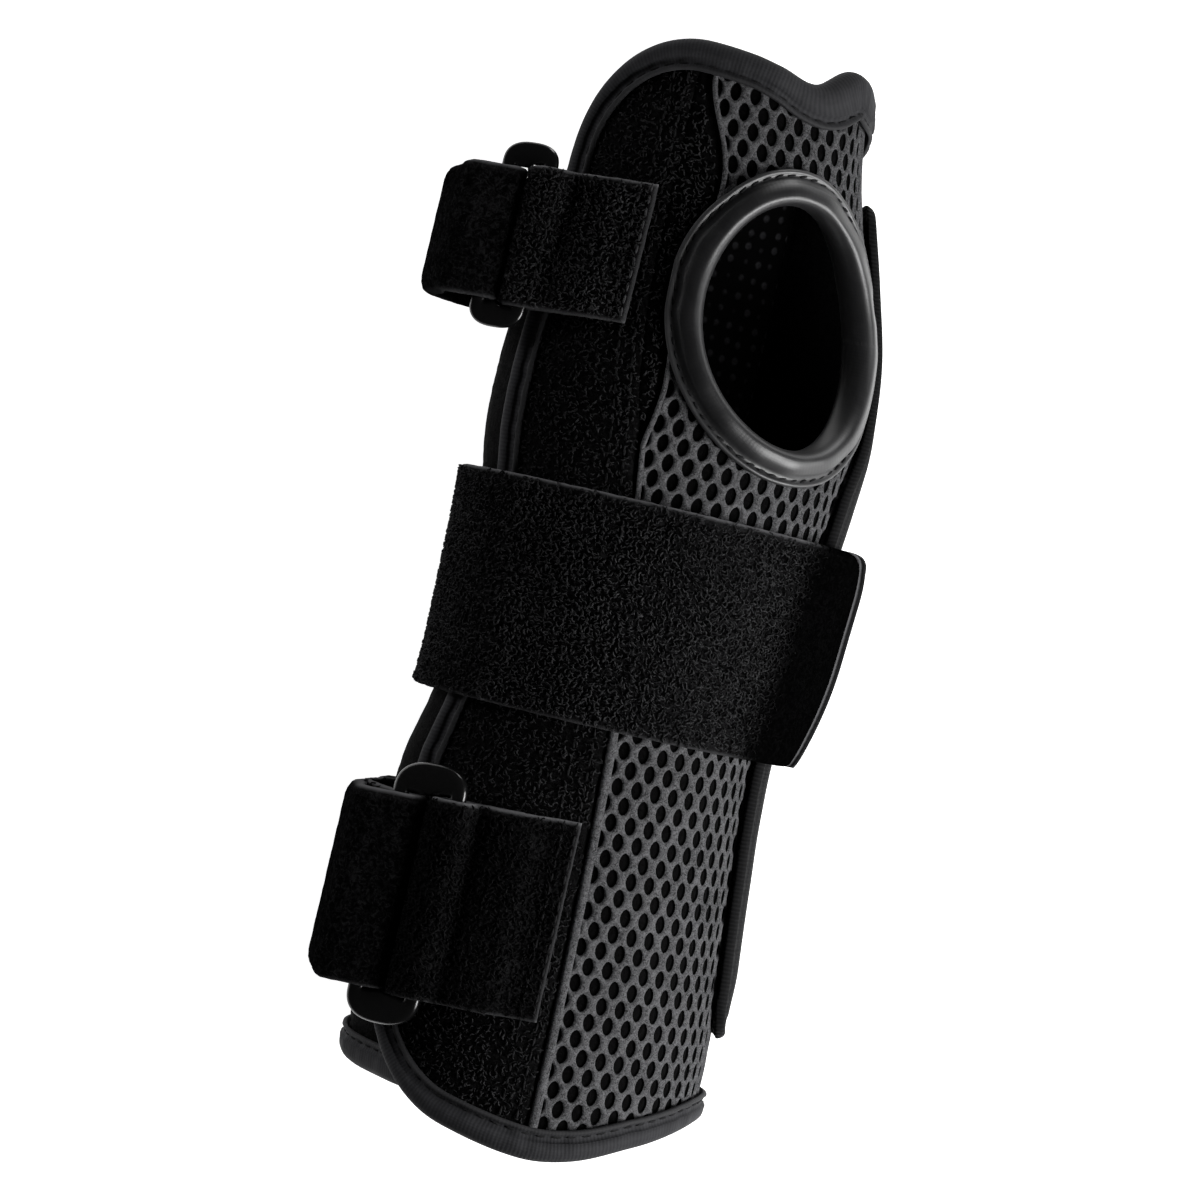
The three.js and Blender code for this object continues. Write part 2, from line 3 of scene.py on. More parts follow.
import bpy
import numpy as np
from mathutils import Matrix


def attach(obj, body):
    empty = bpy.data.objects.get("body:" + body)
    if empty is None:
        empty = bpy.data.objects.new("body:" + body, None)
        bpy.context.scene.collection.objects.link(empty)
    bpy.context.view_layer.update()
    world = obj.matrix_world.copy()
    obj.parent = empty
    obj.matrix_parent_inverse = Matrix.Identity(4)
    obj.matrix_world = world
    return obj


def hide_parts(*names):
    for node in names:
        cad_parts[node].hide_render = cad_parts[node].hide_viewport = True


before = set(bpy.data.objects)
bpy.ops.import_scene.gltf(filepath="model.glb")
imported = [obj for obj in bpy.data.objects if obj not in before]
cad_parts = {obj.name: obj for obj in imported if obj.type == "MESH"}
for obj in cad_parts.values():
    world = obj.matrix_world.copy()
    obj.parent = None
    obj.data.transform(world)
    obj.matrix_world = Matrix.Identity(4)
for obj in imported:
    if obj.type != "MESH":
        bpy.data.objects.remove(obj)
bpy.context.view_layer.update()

# A wrist brace: a padded sleeve with a thumb hole, closed by two ring straps and one wide wrap strap.
# Lengths are in millimetres and angles in degrees until a mesh is made. Places on the sleeve are
# (turn, y, lift): turn runs round the sleeve from 0 at the top over 90 on the right, y runs along the
# forearm towards the fingers, and lift is the height above the sleeve's outer face.
MM = 0.001

# Driving dimensions, the same as the solids have
WALL = 3.0
GAP = 0.3
STRAP = 1.8
TAPE = 1.0
FLAT_HALF = 14.0
FLAT_FROM = 150.0
SLEEVE_BASE = GAP + STRAP
FLAP_EDGE = -60.0
TUCKED_EDGE = 332.0
TUCK_DEPTH = 6.0
TUCK_FROM = 255.0
TUCK_TO = 297.0
PANEL_JOIN = 147.0
FLAP_CORNERS = {"hand": 26.0, "forearm": 22.0}
TUCKED_CORNERS = {"hand": 12.0, "forearm": 12.0}
OUTER_MM_PER_DEGREE = 0.6
INNER_MM_PER_DEGREE = 0.5

# Sections of the sleeve: y, half width to the left, half width to the right, height
SLEEVE = np.array([
    (-110, 35.6, 32.6, 66),
    (-88, 38.0, 34.8, 66),
    (-50, 39.6, 32.2, 64),
    (-38, 38.8, 31.3, 63),
    (-23, 35.7, 31.0, 62),
    (0, 35.6, 32.5, 62),
    (18, 36.2, 34.6, 63),
    (29, 37.8, 35.6, 63.5),
    (42, 38.0, 36.5, 64),
    (57, 37.2, 35.2, 63),
    (72, 36.6, 31.4, 61),
    (92, 36.0, 25.8, 59),
    (112, 35.5, 23.0, 58),
])
# Bound edge at either end: turn, y
HAND_EDGE = np.array([
    (-60, 108), (-18, 108.8), (12, 107), (34, 105.8), (54, 110.6), (78, 108), (110, 104),
    (150, 102), (190, 98), (225, 90), (255, 80), (275, 76), (332, 74),
])
FOREARM_EDGE = np.array([
    (-60, -99), (-22, -104.8), (4, -107.2), (22, -106), (43, -102), (75, -97.5), (120, -98),
    (240, -99), (280, -101), (332, -101),
])
# Seam between the brushed panel and the mesh panel, and the pocket's near edge: y, turn
SEAM = np.array([
    (-110, 4.5), (-30, 2), (0, -4), (18, -7.5), (35, -10.5), (50, -14), (62, -16), (112, -17),
])
POCKET_NEAR = np.array([(-82, 75), (28, 74), (46, 85), (72, 86), (90, 80)])
# How far the net stands back from the seam beside the thumb hole: y, turn
NET_SETBACK = np.array([(30, 0), (42, 5), (62, 7), (76, 12), (86, 12), (100, 3.5), (112, 2)])
# Curls of the hand end, in beside the thumb hole and out again on the right: turn, spread, lift
HAND_CURLS = np.array([(27, 17, -1.6), (58, 14, 1)])
HAND_CURL_FROM = 86.0
HAND_CURL_TO = 106.0

# The thumb hole leans in full round the sleeve, and by a share of that along it
THUMB = {"turn": 34.5, "y": 58.5, "half_round": 20.3, "half_long": 23.2, "lean": 8.0, "lean_along": 0.5}
POCKET = {"from": -80.0, "to": 88.0, "far": 138.0, "lift": 0.6, "thickness": 1.8, "corner": 8.0}
# The wrap strap's last stretch is painted in shade: near black and without pile, blending in over the fade
# length.
WRAP = {
    "from": -24.5, "to": 19.5, "sewn": 152.0, "leaves": 402.0, "bare": 33.0, "fade": 10.0,
    "end_curve": 5.0, "near_draw": 4.0, "near_corner": 3.0, "far_corner": 9.0, "far_corner_length": 15.0,
}
# Free end of the wrap strap, which stands off the sleeve and then hangs: length, slope below the horizontal
FREE_END = np.array([(9, 41), (9.2, 44), (4, 56), (4, 70), (5, 79), (5, 79)])
WRAP_HOOK = {
    "thickness": 1.2, "length": 9.0, "below": 0.9, "lip_from": 1.2, "lip": 4.2, "lip_slope": 24.0,
    "pale_line": 1.6,
}
RING_STRAPS = {
    "hand": {
        "y": 65.5, "band": 27.5, "strap_band": 26.0, "tab_end": -21.0, "tab_fold": -40.0,
        "tab_rise": 1.4, "back_rise": 1.4, "slant": 0.05,
        "ring_x": -38.5, "ring_rise": 22.5, "tilt": 12.0, "ring_width": 11.0,
        "bar_wide": 2.8, "bar_thick": 2.2, "cap": 2.8,
        "reach": 55.0, "bulge_rise": 6.0, "shoulder": 2.2, "slack": 0.35,
    },
    "forearm": {
        "y": -62.5, "band": 38.5, "strap_band": 37.6, "tab_end": -0.5, "tab_fold": -22.0,
        "tab_rise": 0.5, "back_rise": 0.0, "slant": 0.05,
        "ring_x": -29.8, "ring_rise": 28.8, "tilt": 20.0, "ring_width": 15.0,
        "bar_wide": 3.2, "bar_thick": 2.4, "cap": 4.2,
        "reach": 46.5, "bulge_rise": 8.0, "shoulder": 0.8, "slack": 1.7,
    },
}

# Looks: cells of the modelled cloth and the sizes of its trimmings
FRONT_CELL = 1.0
BACK_CELL = 1.6
STRAP_CELL = 1.2
HOOK_CELL = 0.5
HOOK_BEAD = 0.5
PANEL_BEAD = 1.4
PANEL_LENGTH = 205
PANEL_TUFTS_PER_METRE = 620.0
ROLLED_OUTSIDE = 0.55
ROLLED_INSIDE = 0.3
STRAP_BEAD = 0.8
STRAP_TUFT = 0.4
STRAP_TUFTS_PER_METRE = 560.0
# The straps' paler edges are partly painted highlight, the lower edge, turned from the light, getting less
# of it
STRAP_PALE_EDGE_AND_HIGHLIGHT = 0.45
END_LINE = 0.35
SHADED_LOWER_EDGE_SHARE = 0.3
BULGE_ROUNDING = (2.0, 3.5)
SLANT_ABOUT_X = -12.0
CURVE_STEPS = 8
HEM_SMOOTHING = 9
PILE_LEVEL = 1.2
PILE_LOOP = {"Loop Span": 0.98 * MM, "Loop Height": 0.4 * MM, "Thread Radius": 0.15 * MM}
FRONT_LOOPS_PER_SQUARE_MM = 1.1
WEBBING = 2.1
NET_PITCH_ROUND = 4.0
NET_PITCH_LONG = 6.9
NET_DEPTH = 1.0
NET_LEVEL = -0.15
NET_HOLE_GROW = 2.4
BINDING_WIDTH = 6.5
BINDING_GAP = 0.35
BINDING_INSIDE = WALL / 2 + BINDING_GAP
HAND_BINDING_EXTRA = 2.6
THUMB_BINDING_WIDTH = 7.0
HEM_STITCH = 1.3
STITCH_RISE = 0.05
STITCH_INSET = 1.2
STITCH_LIFT = BINDING_GAP + 0.3
POCKET_STITCH = 3.4
NET_INSET = BINDING_WIDTH - 2.5
PANEL_MARGIN = TAPE + 2 * GAP


# Curves and places

def smoothstep(x, low, high):
    t = np.clip((x - low) / (high - low), 0, 1)
    return t * t * (3 - 2 * t)


def bell(distance, spread):
    return np.exp(-((distance / spread) ** 2))


def read_table(table, column, at):
    """Smooth value of a table's column at places along its first column."""
    places, values = table[:, 0], table[:, column]
    last = len(places) - 1
    above = np.minimum(np.arange(last + 1) + 1, last)
    below = np.maximum(np.arange(last + 1) - 1, 0)
    slope = (values[above] - values[below]) / (places[above] - places[below])
    at = np.clip(at, places[0], places[last])
    i = np.clip(np.searchsorted(places, at, side="right") - 1, 0, last - 1)
    span = places[i + 1] - places[i]
    t = (at - places[i]) / span
    blend = t * t * (3 - 2 * t)
    bend = slope[i] * t * (1 - t) ** 2 - slope[i + 1] * t * t * (1 - t)
    return values[i] + (values[i + 1] - values[i]) * blend + span * bend


def middle_height(y):
    return SLEEVE_BASE + read_table(SLEEVE, 3, y) / 2


def round_point(turn, y, lift=0.0):
    """Point of the sleeve's round section: an ellipse above, round corners and a flat underside."""
    turn, y, lift = np.broadcast_arrays(np.asarray(turn, float), np.asarray(y, float), lift)
    angle = np.mod(turn, 360)
    left = angle > 180
    fold = np.where(left, 360 - angle, angle)
    half = np.where(left, read_table(SLEEVE, 1, y), read_table(SLEEVE, 2, y)) + lift
    middle = middle_height(y)
    rise = middle - SLEEVE_BASE + lift
    upper = np.radians(fold)
    lower = np.radians((np.clip(fold, 90, FLAT_FROM) - 90) * (90 / (FLAT_FROM - 90)))
    corner = FLAT_HALF + (half - FLAT_HALF) * np.cos(lower)
    below = np.where(fold <= FLAT_FROM, corner, FLAT_HALF * (180 - fold) / (180 - FLAT_FROM))
    x = np.where(fold <= 90, half * np.sin(upper), below)
    up = np.where(fold <= 90, np.cos(upper), np.where(fold <= FLAT_FROM, -np.sin(lower), -1.0))
    return np.stack([np.where(left, -x, x), y, middle + rise * up], axis=-1)


def hand_curl(turn, y):
    """Lift of the hand end, which curls in beside the thumb hole and out again on the right."""
    curls = [lift * bell(turn - middle, spread) for middle, spread, lift in HAND_CURLS]
    return sum(curls) * smoothstep(y, HAND_CURL_FROM, HAND_CURL_TO)


def sleeve_point(turn, y, lift=0.0):
    """Point of the wrapped sleeve, whose inner flap sinks below the outer one."""
    tuck = TUCK_DEPTH * smoothstep(turn, TUCK_FROM, TUCK_TO)
    return round_point(turn, y, lift - tuck + hand_curl(turn, y))


def with_way_out(turn, y, lift):
    """Points of the wrapped sleeve and the way out of the cloth at each."""
    points = sleeve_point(turn, y, lift)
    return points, sleeve_point(turn, y, lift + 1.0) - points


def mm_per_degree(turn, y):
    return np.linalg.norm(sleeve_point(turn + 0.5, y) - sleeve_point(turn - 0.5, y), axis=-1)


def corner_drop(distance, radius):
    inner = radius - np.clip(distance, 0, radius)
    return radius - np.sqrt(radius ** 2 - inner ** 2)


def corner_inset(turn, end, margin):
    from_flap = (turn - FLAP_EDGE) * OUTER_MM_PER_DEGREE - margin
    from_tuck = (TUCKED_EDGE - turn) * INNER_MM_PER_DEGREE - margin
    flap = corner_drop(from_flap, FLAP_CORNERS[end] - margin)
    return flap + corner_drop(from_tuck, TUCKED_CORNERS[end] - margin)


def hand_edge(turn, margin=0.0):
    return read_table(HAND_EDGE, 1, turn) - margin - corner_inset(turn, "hand", margin)


def forearm_edge(turn, margin=0.0):
    return read_table(FOREARM_EDGE, 1, turn) + margin + corner_inset(turn, "forearm", margin)


def seam_turn(y):
    return read_table(SEAM, 1, y)


def net_edge_turn(y):
    return seam_turn(y) + read_table(NET_SETBACK, 1, y)


def smooth_curve(points):
    """Centripetal curve through rows of points, an array of (point, row, 3)."""
    full = np.concatenate([[2 * points[0] - points[1]], points, [2 * points[-1] - points[-2]]])
    t = np.linspace(0, 1, CURVE_STEPS, endpoint=False)[:, None, None]
    pieces = []
    for p0, p1, p2, p3 in zip(full, full[1:], full[2:], full[3:]):
        d0, d1, d2 = (
            np.sqrt(np.linalg.norm(b - a, axis=-1, keepdims=True)) for a, b in ((p0, p1), (p1, p2), (p2, p3))
        )
        leave = ((p1 - p0) / d0 - (p2 - p0) / (d0 + d1) + (p2 - p1) / d1) * d1
        arrive = ((p2 - p1) / d1 - (p3 - p1) / (d1 + d2) + (p3 - p2) / d2) * d1
        square = 3 * (p2 - p1) - 2 * leave - arrive
        cube = 2 * (p1 - p2) + leave + arrive
        pieces.append(p1 + leave * t + square * t ** 2 + cube * t ** 3)
    return np.concatenate(pieces + [points[-1:]])


def run_lengths(points):
    """Length along a line of points up to each of them."""
    steps = np.linalg.norm(np.diff(points, axis=0), axis=-1)
    return np.concatenate([[0], np.cumsum(steps)])


def at_lengths(points, lengths):
    along = run_lengths(points)
    return np.stack([np.interp(lengths, along, points[:, k]) for k in range(points.shape[1])], axis=-1)


def edged(width, cell, bead):
    """Places across a strip, closer together in the bead at either edge."""
    near = bead * (1 - np.cos(np.linspace(0, np.pi / 2, 5)))
    count = max(2, round((width - 2 * bead) / cell) + 1)
    return np.concatenate([near[:-1], np.linspace(bead, width - bead, count), width - near[-2::-1]])


def bead_share(distance, bead):
    """Share of the full thickness at a distance from a rounded edge."""
    return np.sqrt(np.clip(1 - (1 - np.clip(distance / bead, 0, 1)) ** 2, 0.06, 1))


# Meshes

def grid_faces(columns, rows):
    at = np.arange(columns * rows).reshape(columns, rows)
    return at, np.stack([at[:-1, :-1], at[1:, :-1], at[1:, 1:], at[:-1, 1:]], -1).reshape(-1, 4)


def outward(points, faces):
    """The faces, turned so that a closed mesh shows its outside."""
    a, b, c, d = (points[faces[:, k]] for k in range(4))
    volume = np.sum(a * np.cross(b, c)) + np.sum(a * np.cross(c, d))
    return faces if volume > 0 else faces[:, ::-1]


def facing(points, faces, out):
    """The faces, turned so that an open mesh shows the side that its points' way out leaves from."""
    first = points[faces[0]]
    normal = np.cross(first[1] - first[0], first[2] - first[0])
    return faces[:, ::-1] if np.dot(normal, out[faces[0, 0]]) < 0 else faces


def add_object(name, data):
    made = bpy.data.objects.new(name, data)
    bpy.context.scene.collection.objects.link(made)
    return made


def make_piece(name, points, faces, material, cloth=None):
    """Object at the origin with its place in its mesh; cloth gives each point's place on the flat cloth."""
    mesh = bpy.data.meshes.new(name)
    mesh.from_pydata((points * MM).tolist(), [], faces.tolist(), shade_flat=False)
    if cloth is not None:
        corners = np.empty(len(mesh.loops), np.int32)
        mesh.loops.foreach_get("vertex_index", corners)
        layer = mesh.uv_layers.new(name="cloth")
        layer.data.foreach_set("uv", (cloth[corners] * MM).astype(np.float32).ravel())
    if material is not None:
        mesh.materials.append(material)
    return add_object(name, mesh)


def flat_places(across, along):
    return np.stack(np.broadcast_arrays(across, along), axis=-1).reshape(-1, 2)


def sheet_piece(name, outer, inner, material, *cloth):
    """Thick sheet between two grids of points; cloth is the places across and along the flat cloth."""
    points = np.concatenate([outer.reshape(-1, 3), inner.reshape(-1, 3)])
    at, top = grid_faces(*outer.shape[:2])
    border = np.concatenate([at[:, 0], at[-1, 1:], at[-2::-1, -1], at[0, -2:0:-1]])
    beside = np.roll(border, -1)
    rim = np.stack([beside, border, border + at.size, beside + at.size], -1)
    faces = outward(points, np.concatenate([top, top[:, ::-1] + at.size, rim]))
    flat = np.tile(flat_places(*cloth), (2, 1)) if cloth else None
    return make_piece(name, points, faces, material, flat)


def swept_piece(name, sections, material, *cloth):
    """Closed section swept round a closed path; cloth is the places across and along the flat cloth."""
    steps, sides = sections.shape[:2]
    at = np.arange(steps * sides).reshape(steps, sides)
    on = np.roll(at, -1, axis=0)
    faces = np.stack([at, on, np.roll(on, -1, axis=1), np.roll(at, -1, axis=1)], -1).reshape(-1, 4)
    points = sections.reshape(-1, 3)
    flat = flat_places(*cloth) if cloth else None
    return make_piece(name, points, outward(points, faces), material, flat)


def mark(piece, name, domain, *values):
    """Keeps a number for each point or face of a piece, for its material or its node tree to read."""
    marks = np.concatenate([part.ravel() for part in values]).astype(np.float32)
    piece.data.attributes.new(name, "FLOAT", domain).data.foreach_set("value", marks)


def apply_modifier(piece, modifier):
    graph = bpy.context.evaluated_depsgraph_get()
    made = bpy.data.meshes.new_from_object(piece.evaluated_get(graph), depsgraph=graph)
    made.name = piece.name
    piece.modifiers.remove(modifier)
    piece.data = made
    return piece


def through_nodes(piece, tree, values):
    """Runs a piece through a geometry tree and keeps the result as its plain mesh."""
    modifier = piece.modifiers.new(tree.name, "NODES")
    modifier.node_group = tree
    for item in tree.interface.items_tree:
        if item.in_out == "INPUT" and item.name in values:
            modifier[item.identifier] = values[item.name]
    return apply_modifier(piece, modifier)


# Node trees

class Wire:
    """A node's output, which plain arithmetic leads on through maths nodes."""

    def __init__(self, tree, socket):
        self.tree = tree
        self.socket = socket

    def beside(self, name):
        """Another output of the same node."""
        return Wire(self.tree, self.socket.node.outputs[name])

    def maths(self, operation, *values):
        return add_node(self.tree, "ShaderNodeMath", dict(enumerate(values)), operation=operation)

    def __add__(self, other):
        return self.maths("ADD", self, other)

    def __sub__(self, other):
        return self.maths("SUBTRACT", self, other)

    def __rsub__(self, other):
        return self.maths("SUBTRACT", other, self)

    def __mul__(self, other):
        return self.maths("MULTIPLY", self, other)


def add_node(tree, kind, numbered=None, output=0, **words):
    """One output of a new node, if it has any.

    A word with a capital is a socket, which takes a value or another node's wire, and one without is a
    setting. The sockets in numbered go by their number, because they share a name."""
    made = tree.nodes.new(kind)
    sockets = dict(numbered or {})
    for word, value in words.items():
        if word[0].isupper():
            sockets[word.replace("_", " ")] = value
        else:
            setattr(made, word, value)
    for name, value in sockets.items():
        if isinstance(value, Wire):
            tree.links.new(value.socket, made.inputs[name])
        else:
            made.inputs[name].default_value = value
    return Wire(tree, made.outputs[output]) if made.outputs else None


SOCKET_KINDS = {
    "Geometry": "Geometry", "Material": "Material", "Lining": "Material", "Painted Hole Shade": "Material",
    "Seed": "Int", "Dark": "Color", "Light": "Color", "Color": "Color",
}


def new_tree(name, kind, inputs, outputs):
    """Empty node tree with named sockets, numbers unless their name is above, and its inputs' wires."""
    tree = bpy.data.node_groups.new(name, kind)
    for side, names in (("INPUT", inputs), ("OUTPUT", outputs)):
        for socket in names:
            socket_type = "NodeSocket" + SOCKET_KINDS.get(socket, "Float")
            tree.interface.new_socket(socket, in_out=side, socket_type=socket_type)
    given = tree.nodes.new("NodeGroupInput").outputs
    return tree, {socket: Wire(tree, given[socket]) for socket in inputs}


def geometry_tree(name, *inputs):
    return new_tree(name, "GeometryNodeTree", ("Geometry", *inputs), ("Geometry",))


def close_tree(tree, **results):
    add_node(tree, "NodeGroupOutput", **results)
    return tree


def named(tree, name, data_type="FLOAT"):
    return add_node(
        tree, "GeometryNodeInputNamedAttribute", output="Attribute", Name=name, data_type=data_type
    )


def dressed(tree, geometry, material, **where):
    """Geometry in a material, or only the faces of it that a selection picks."""
    return add_node(tree, "GeometryNodeSetMaterial", Geometry=geometry, Material=material, **where)


def vector(tree, **parts):
    return add_node(tree, "ShaderNodeCombineXYZ", **parts)


def random_number(tree, seed, least=0.0, most=1.0):
    limits = {2: least, 3: most}
    return add_node(tree, "FunctionNodeRandomValue", limits, 1, Seed=seed, data_type="FLOAT")


def turned_about(tree, rotation, turn):
    """A rotation, turned about its own upright."""
    return add_node(
        tree, "FunctionNodeRotateRotation", Rotation=rotation, Rotate_By=vector(tree, Z=turn),
        rotation_space="LOCAL",
    )


def strewn(tree, points, instance, rotation, scale, material):
    """Copies of a small mesh on points, as one smooth mesh in a material."""
    copies = add_node(
        tree, "GeometryNodeInstanceOnPoints", Points=points, Instance=instance, Rotation=rotation,
        Scale=scale,
    )
    whole = add_node(tree, "GeometryNodeRealizeInstances", Geometry=copies)
    return dressed(tree, add_node(tree, "GeometryNodeSetShadeSmooth", Geometry=whole), material)


def brushed_pile_tree():
    """Raises a cloth's outside in small tufts; the faces marked as lining get the lining's material."""
    tree, given = geometry_tree("brushed_pile", "Tuft Height", "Tufts per Metre", "Material", "Lining")
    noise = add_node(
        tree, "ShaderNodeTexNoise", Scale=given["Tufts per Metre"], Detail=2.0, Roughness=0.6, Distortion=0.8
    )
    # The tufts flatten where the wrap strap's end is painted in shade
    height = (noise - 0.5) * (given["Tuft Height"] * (1.0 - named(tree, "bare")))
    normal = add_node(tree, "GeometryNodeInputNormal")
    offset = add_node(tree, "ShaderNodeVectorMath", Vector=normal, Scale=height, operation="SCALE")
    raised = add_node(tree, "GeometryNodeSetPosition", Geometry=given["Geometry"], Offset=offset)
    whole = add_node(tree, "GeometryNodeRealizeInstances", Geometry=raised)
    outside = dressed(tree, whole, given["Material"])
    inside = dressed(tree, outside, given["Lining"], Selection=named(tree, "lining"))
    return close_tree(tree, Geometry=inside)


def loop_pile_tree():
    """Stands small bent loops of thread all over a cloth, each turned its own way."""
    tree, given = geometry_tree(
        "loop_pile", "Loops per Square Metre", "Loop Span", "Loop Height", "Thread Radius", "Seed",
        "Material",
    )
    # Fewer loops where the wrap strap's end is painted in shade
    bare = named(tree, "bare")
    density = given["Loops per Square Metre"] * (1.0 - bare.maths("POWER", bare, 4.0))
    spots = add_node(
        tree, "GeometryNodeDistributePointsOnFaces", output="Points", Mesh=given["Geometry"],
        Density=density, Seed=given["Seed"],
    )
    half = given["Loop Span"] * 0.5
    root = given["Loop Height"] * -0.4
    bend = given["Loop Height"] * 2.2
    loop = add_node(
        tree, "GeometryNodeCurveQuadraticBezier", Resolution=2, Start=vector(tree, X=half * -1.0, Z=root),
        Middle=vector(tree, Y=half, Z=bend), End=vector(tree, X=half, Z=root),
    )
    section = add_node(
        tree, "GeometryNodeCurvePrimitiveCircle", Radius=given["Thread Radius"], Resolution=3
    )
    thread = add_node(tree, "GeometryNodeCurveToMesh", Curve=loop, Profile_Curve=section)
    spin = random_number(tree, given["Seed"], most=math.tau)
    size = random_number(tree, given["Seed"] + 1, least=0.6, most=1.3)
    turned = turned_about(tree, spots.beside("Rotation"), spin)
    return close_tree(tree, Geometry=strewn(tree, spots, thread, turned, size, given["Material"]))


def knitted_net_tree():
    """Turns each cell of a net's base mesh into an oval hole between rounded threads, and paints the holes'
    walls in the dark hole material as shade.
    """
    tree, given = geometry_tree(
        "knitted_net", "Shoulder Depth", "Shoulder Share", "Shoulder Stretch", "Hole Depth", "Hole Share",
        "Material", "Painted Hole Shade",
    )

    def sink(cells, depth, share, **where):
        """Sinks cells and draws their floors in; returns the mesh and the masks of floors and walls."""
        sunk = add_node(
            tree, "GeometryNodeExtrudeMesh", output="Mesh", Mesh=cells, Offset_Scale=depth * -1.0,
            Individual=True, mode="FACES", **where,
        )
        floors = sunk.beside("Top")
        drawn = add_node(tree, "GeometryNodeScaleElements", Geometry=sunk, Selection=floors, Scale=share)
        return drawn, floors, sunk.beside("Side")

    shoulders, floors, _ = sink(given["Geometry"], given["Shoulder Depth"], given["Shoulder Share"])
    longer = add_node(
        tree, "GeometryNodeScaleElements", Geometry=shoulders, Selection=floors, Axis=(0, 1, 0),
        Scale=given["Shoulder Stretch"], scale_mode="SINGLE_AXIS",
    )
    holes, floors, walls = sink(longer, given["Hole Depth"], given["Hole Share"], Selection=floors)
    opened = add_node(tree, "GeometryNodeDeleteGeometry", Geometry=holes, Selection=floors, domain="FACE")
    rounded = add_node(tree, "GeometryNodeSubdivisionSurface", Mesh=opened, Level=1)
    soft = add_node(tree, "GeometryNodeSetShadeSmooth", Geometry=rounded)
    whole = add_node(tree, "GeometryNodeRealizeInstances", Geometry=soft)
    threads = dressed(tree, whole, given["Material"])
    return close_tree(tree, Geometry=dressed(tree, threads, given["Painted Hole Shade"], Selection=walls))


def stitch_row_tree():
    """Lays stitches along lines; each line's points carry the way out of the cloth in stitch_up."""
    tree, given = geometry_tree(
        "stitch_row", "Pitch", "Stitch Length", "Stitch Width", "Stitch Height", "Slant", "Unevenness",
        "Seed", "Material",
    )
    lines = add_node(tree, "GeometryNodeMeshToCurve", Mesh=given["Geometry"])
    marks = add_node(tree, "GeometryNodeResampleCurve", Curve=lines, Length=given["Pitch"], mode="LENGTH")
    tangent = add_node(tree, "GeometryNodeInputTangent")
    along = add_node(tree, "FunctionNodeAlignRotationToVector", Vector=tangent, axis="X")
    up = named(tree, "stitch_up", "FLOAT_VECTOR")
    upright = add_node(
        tree, "FunctionNodeAlignRotationToVector", Rotation=along, Vector=up, axis="Z", pivot_axis="X"
    )
    uneven = (random_number(tree, given["Seed"]) - 0.5) * (given["Unevenness"] * 2.0)
    turned = turned_about(tree, upright, given["Slant"] + uneven)
    stitch = add_node(tree, "GeometryNodeMeshUVSphere", output="Mesh", Segments=8, Rings=5, Radius=0.5)
    size = vector(tree, X=given["Stitch Length"], Y=given["Stitch Width"], Z=given["Stitch Height"])
    return close_tree(tree, Geometry=strewn(tree, marks, stitch, turned, size, given["Material"]))


# Finishes

def mix(tree, factor, first, second, blend="MIX"):
    """Mix of two colours; in this node colours have the sockets 6 and 7 and the output 2."""
    return add_node(
        tree, "ShaderNodeMix", {6: first, 7: second}, 2, Factor=factor, data_type="RGBA", blend_type=blend
    )


def grain_group():
    """Curled fibre grain: a colour between two, a height and a roughness that follow it."""
    tree, given = new_tree(
        "curled_grain", "ShaderNodeTree", ("Grain per Metre", "Dark", "Light", "Low", "High", "Rough"),
        ("Color", "Height", "Roughness"),
    )
    place = add_node(tree, "ShaderNodeTexCoord", output="Object")

    def noise(finer, **looks):
        scale = given["Grain per Metre"] * finer
        return add_node(tree, "ShaderNodeTexNoise", Vector=place, Scale=scale, **looks)

    curls = noise(1.0, Detail=3.0, Roughness=0.62, Distortion=1.4)
    fibres = noise(3.7, Detail=2.0, Roughness=0.6, Distortion=2.0)
    patches = noise(0.06, Detail=2.0)
    height = curls * 0.7 + fibres * 0.3
    wear_and_painted_shade = height + (patches - 0.5) * 0.12
    share = add_node(
        tree, "ShaderNodeMapRange", Value=wear_and_painted_shade, From_Min=given["Low"], From_Max=given["High"]
    )
    colour = mix(tree, share, given["Dark"], given["Light"])
    return close_tree(tree, Color=colour, Height=height, Roughness=given["Rough"] + (height - 0.5) * 0.2)


def ribs_group():
    """Fine woven ribs on the flat cloth: a mask across the ribs and the height of the weave."""
    tree, given = new_tree(
        "woven_ribs", "ShaderNodeTree", ("Ribs per Metre", "Picks per Metre", "Waver"), ("Mask", "Height")
    )
    cloth = add_node(tree, "ShaderNodeUVMap", uv_map="cloth")
    split = add_node(tree, "ShaderNodeSeparateXYZ", Vector=cloth)
    place = add_node(tree, "ShaderNodeTexCoord", output="Object")
    waver = add_node(tree, "ShaderNodeTexNoise", Vector=place, Scale=160.0, Detail=2.0)
    drift = (waver - 0.5) * (given["Waver"] * 12.0)

    def wave(axis, per_metre):
        phase = split.beside(axis) * per_metre * math.tau + drift
        return phase.maths("SINE", phase) * 0.5 + 0.5

    ribs = wave("Y", given["Ribs per Metre"])
    picks = wave("X", given["Picks per Metre"])
    return close_tree(tree, Mask=ribs, Height=ribs * 0.7 + picks * 0.3)


GRAIN = grain_group()
RIBS = ribs_group()


def new_material(name, **constants):
    """Material with one Principled shader, whose own sockets the constants set, and its node tree."""
    material = bpy.data.materials.new(name)
    material.use_nodes = True
    shader = material.node_tree.nodes["Principled BSDF"]
    for socket, value in constants.items():
        shader.inputs[socket.replace("_", " ")].default_value = value
    return material, material.node_tree


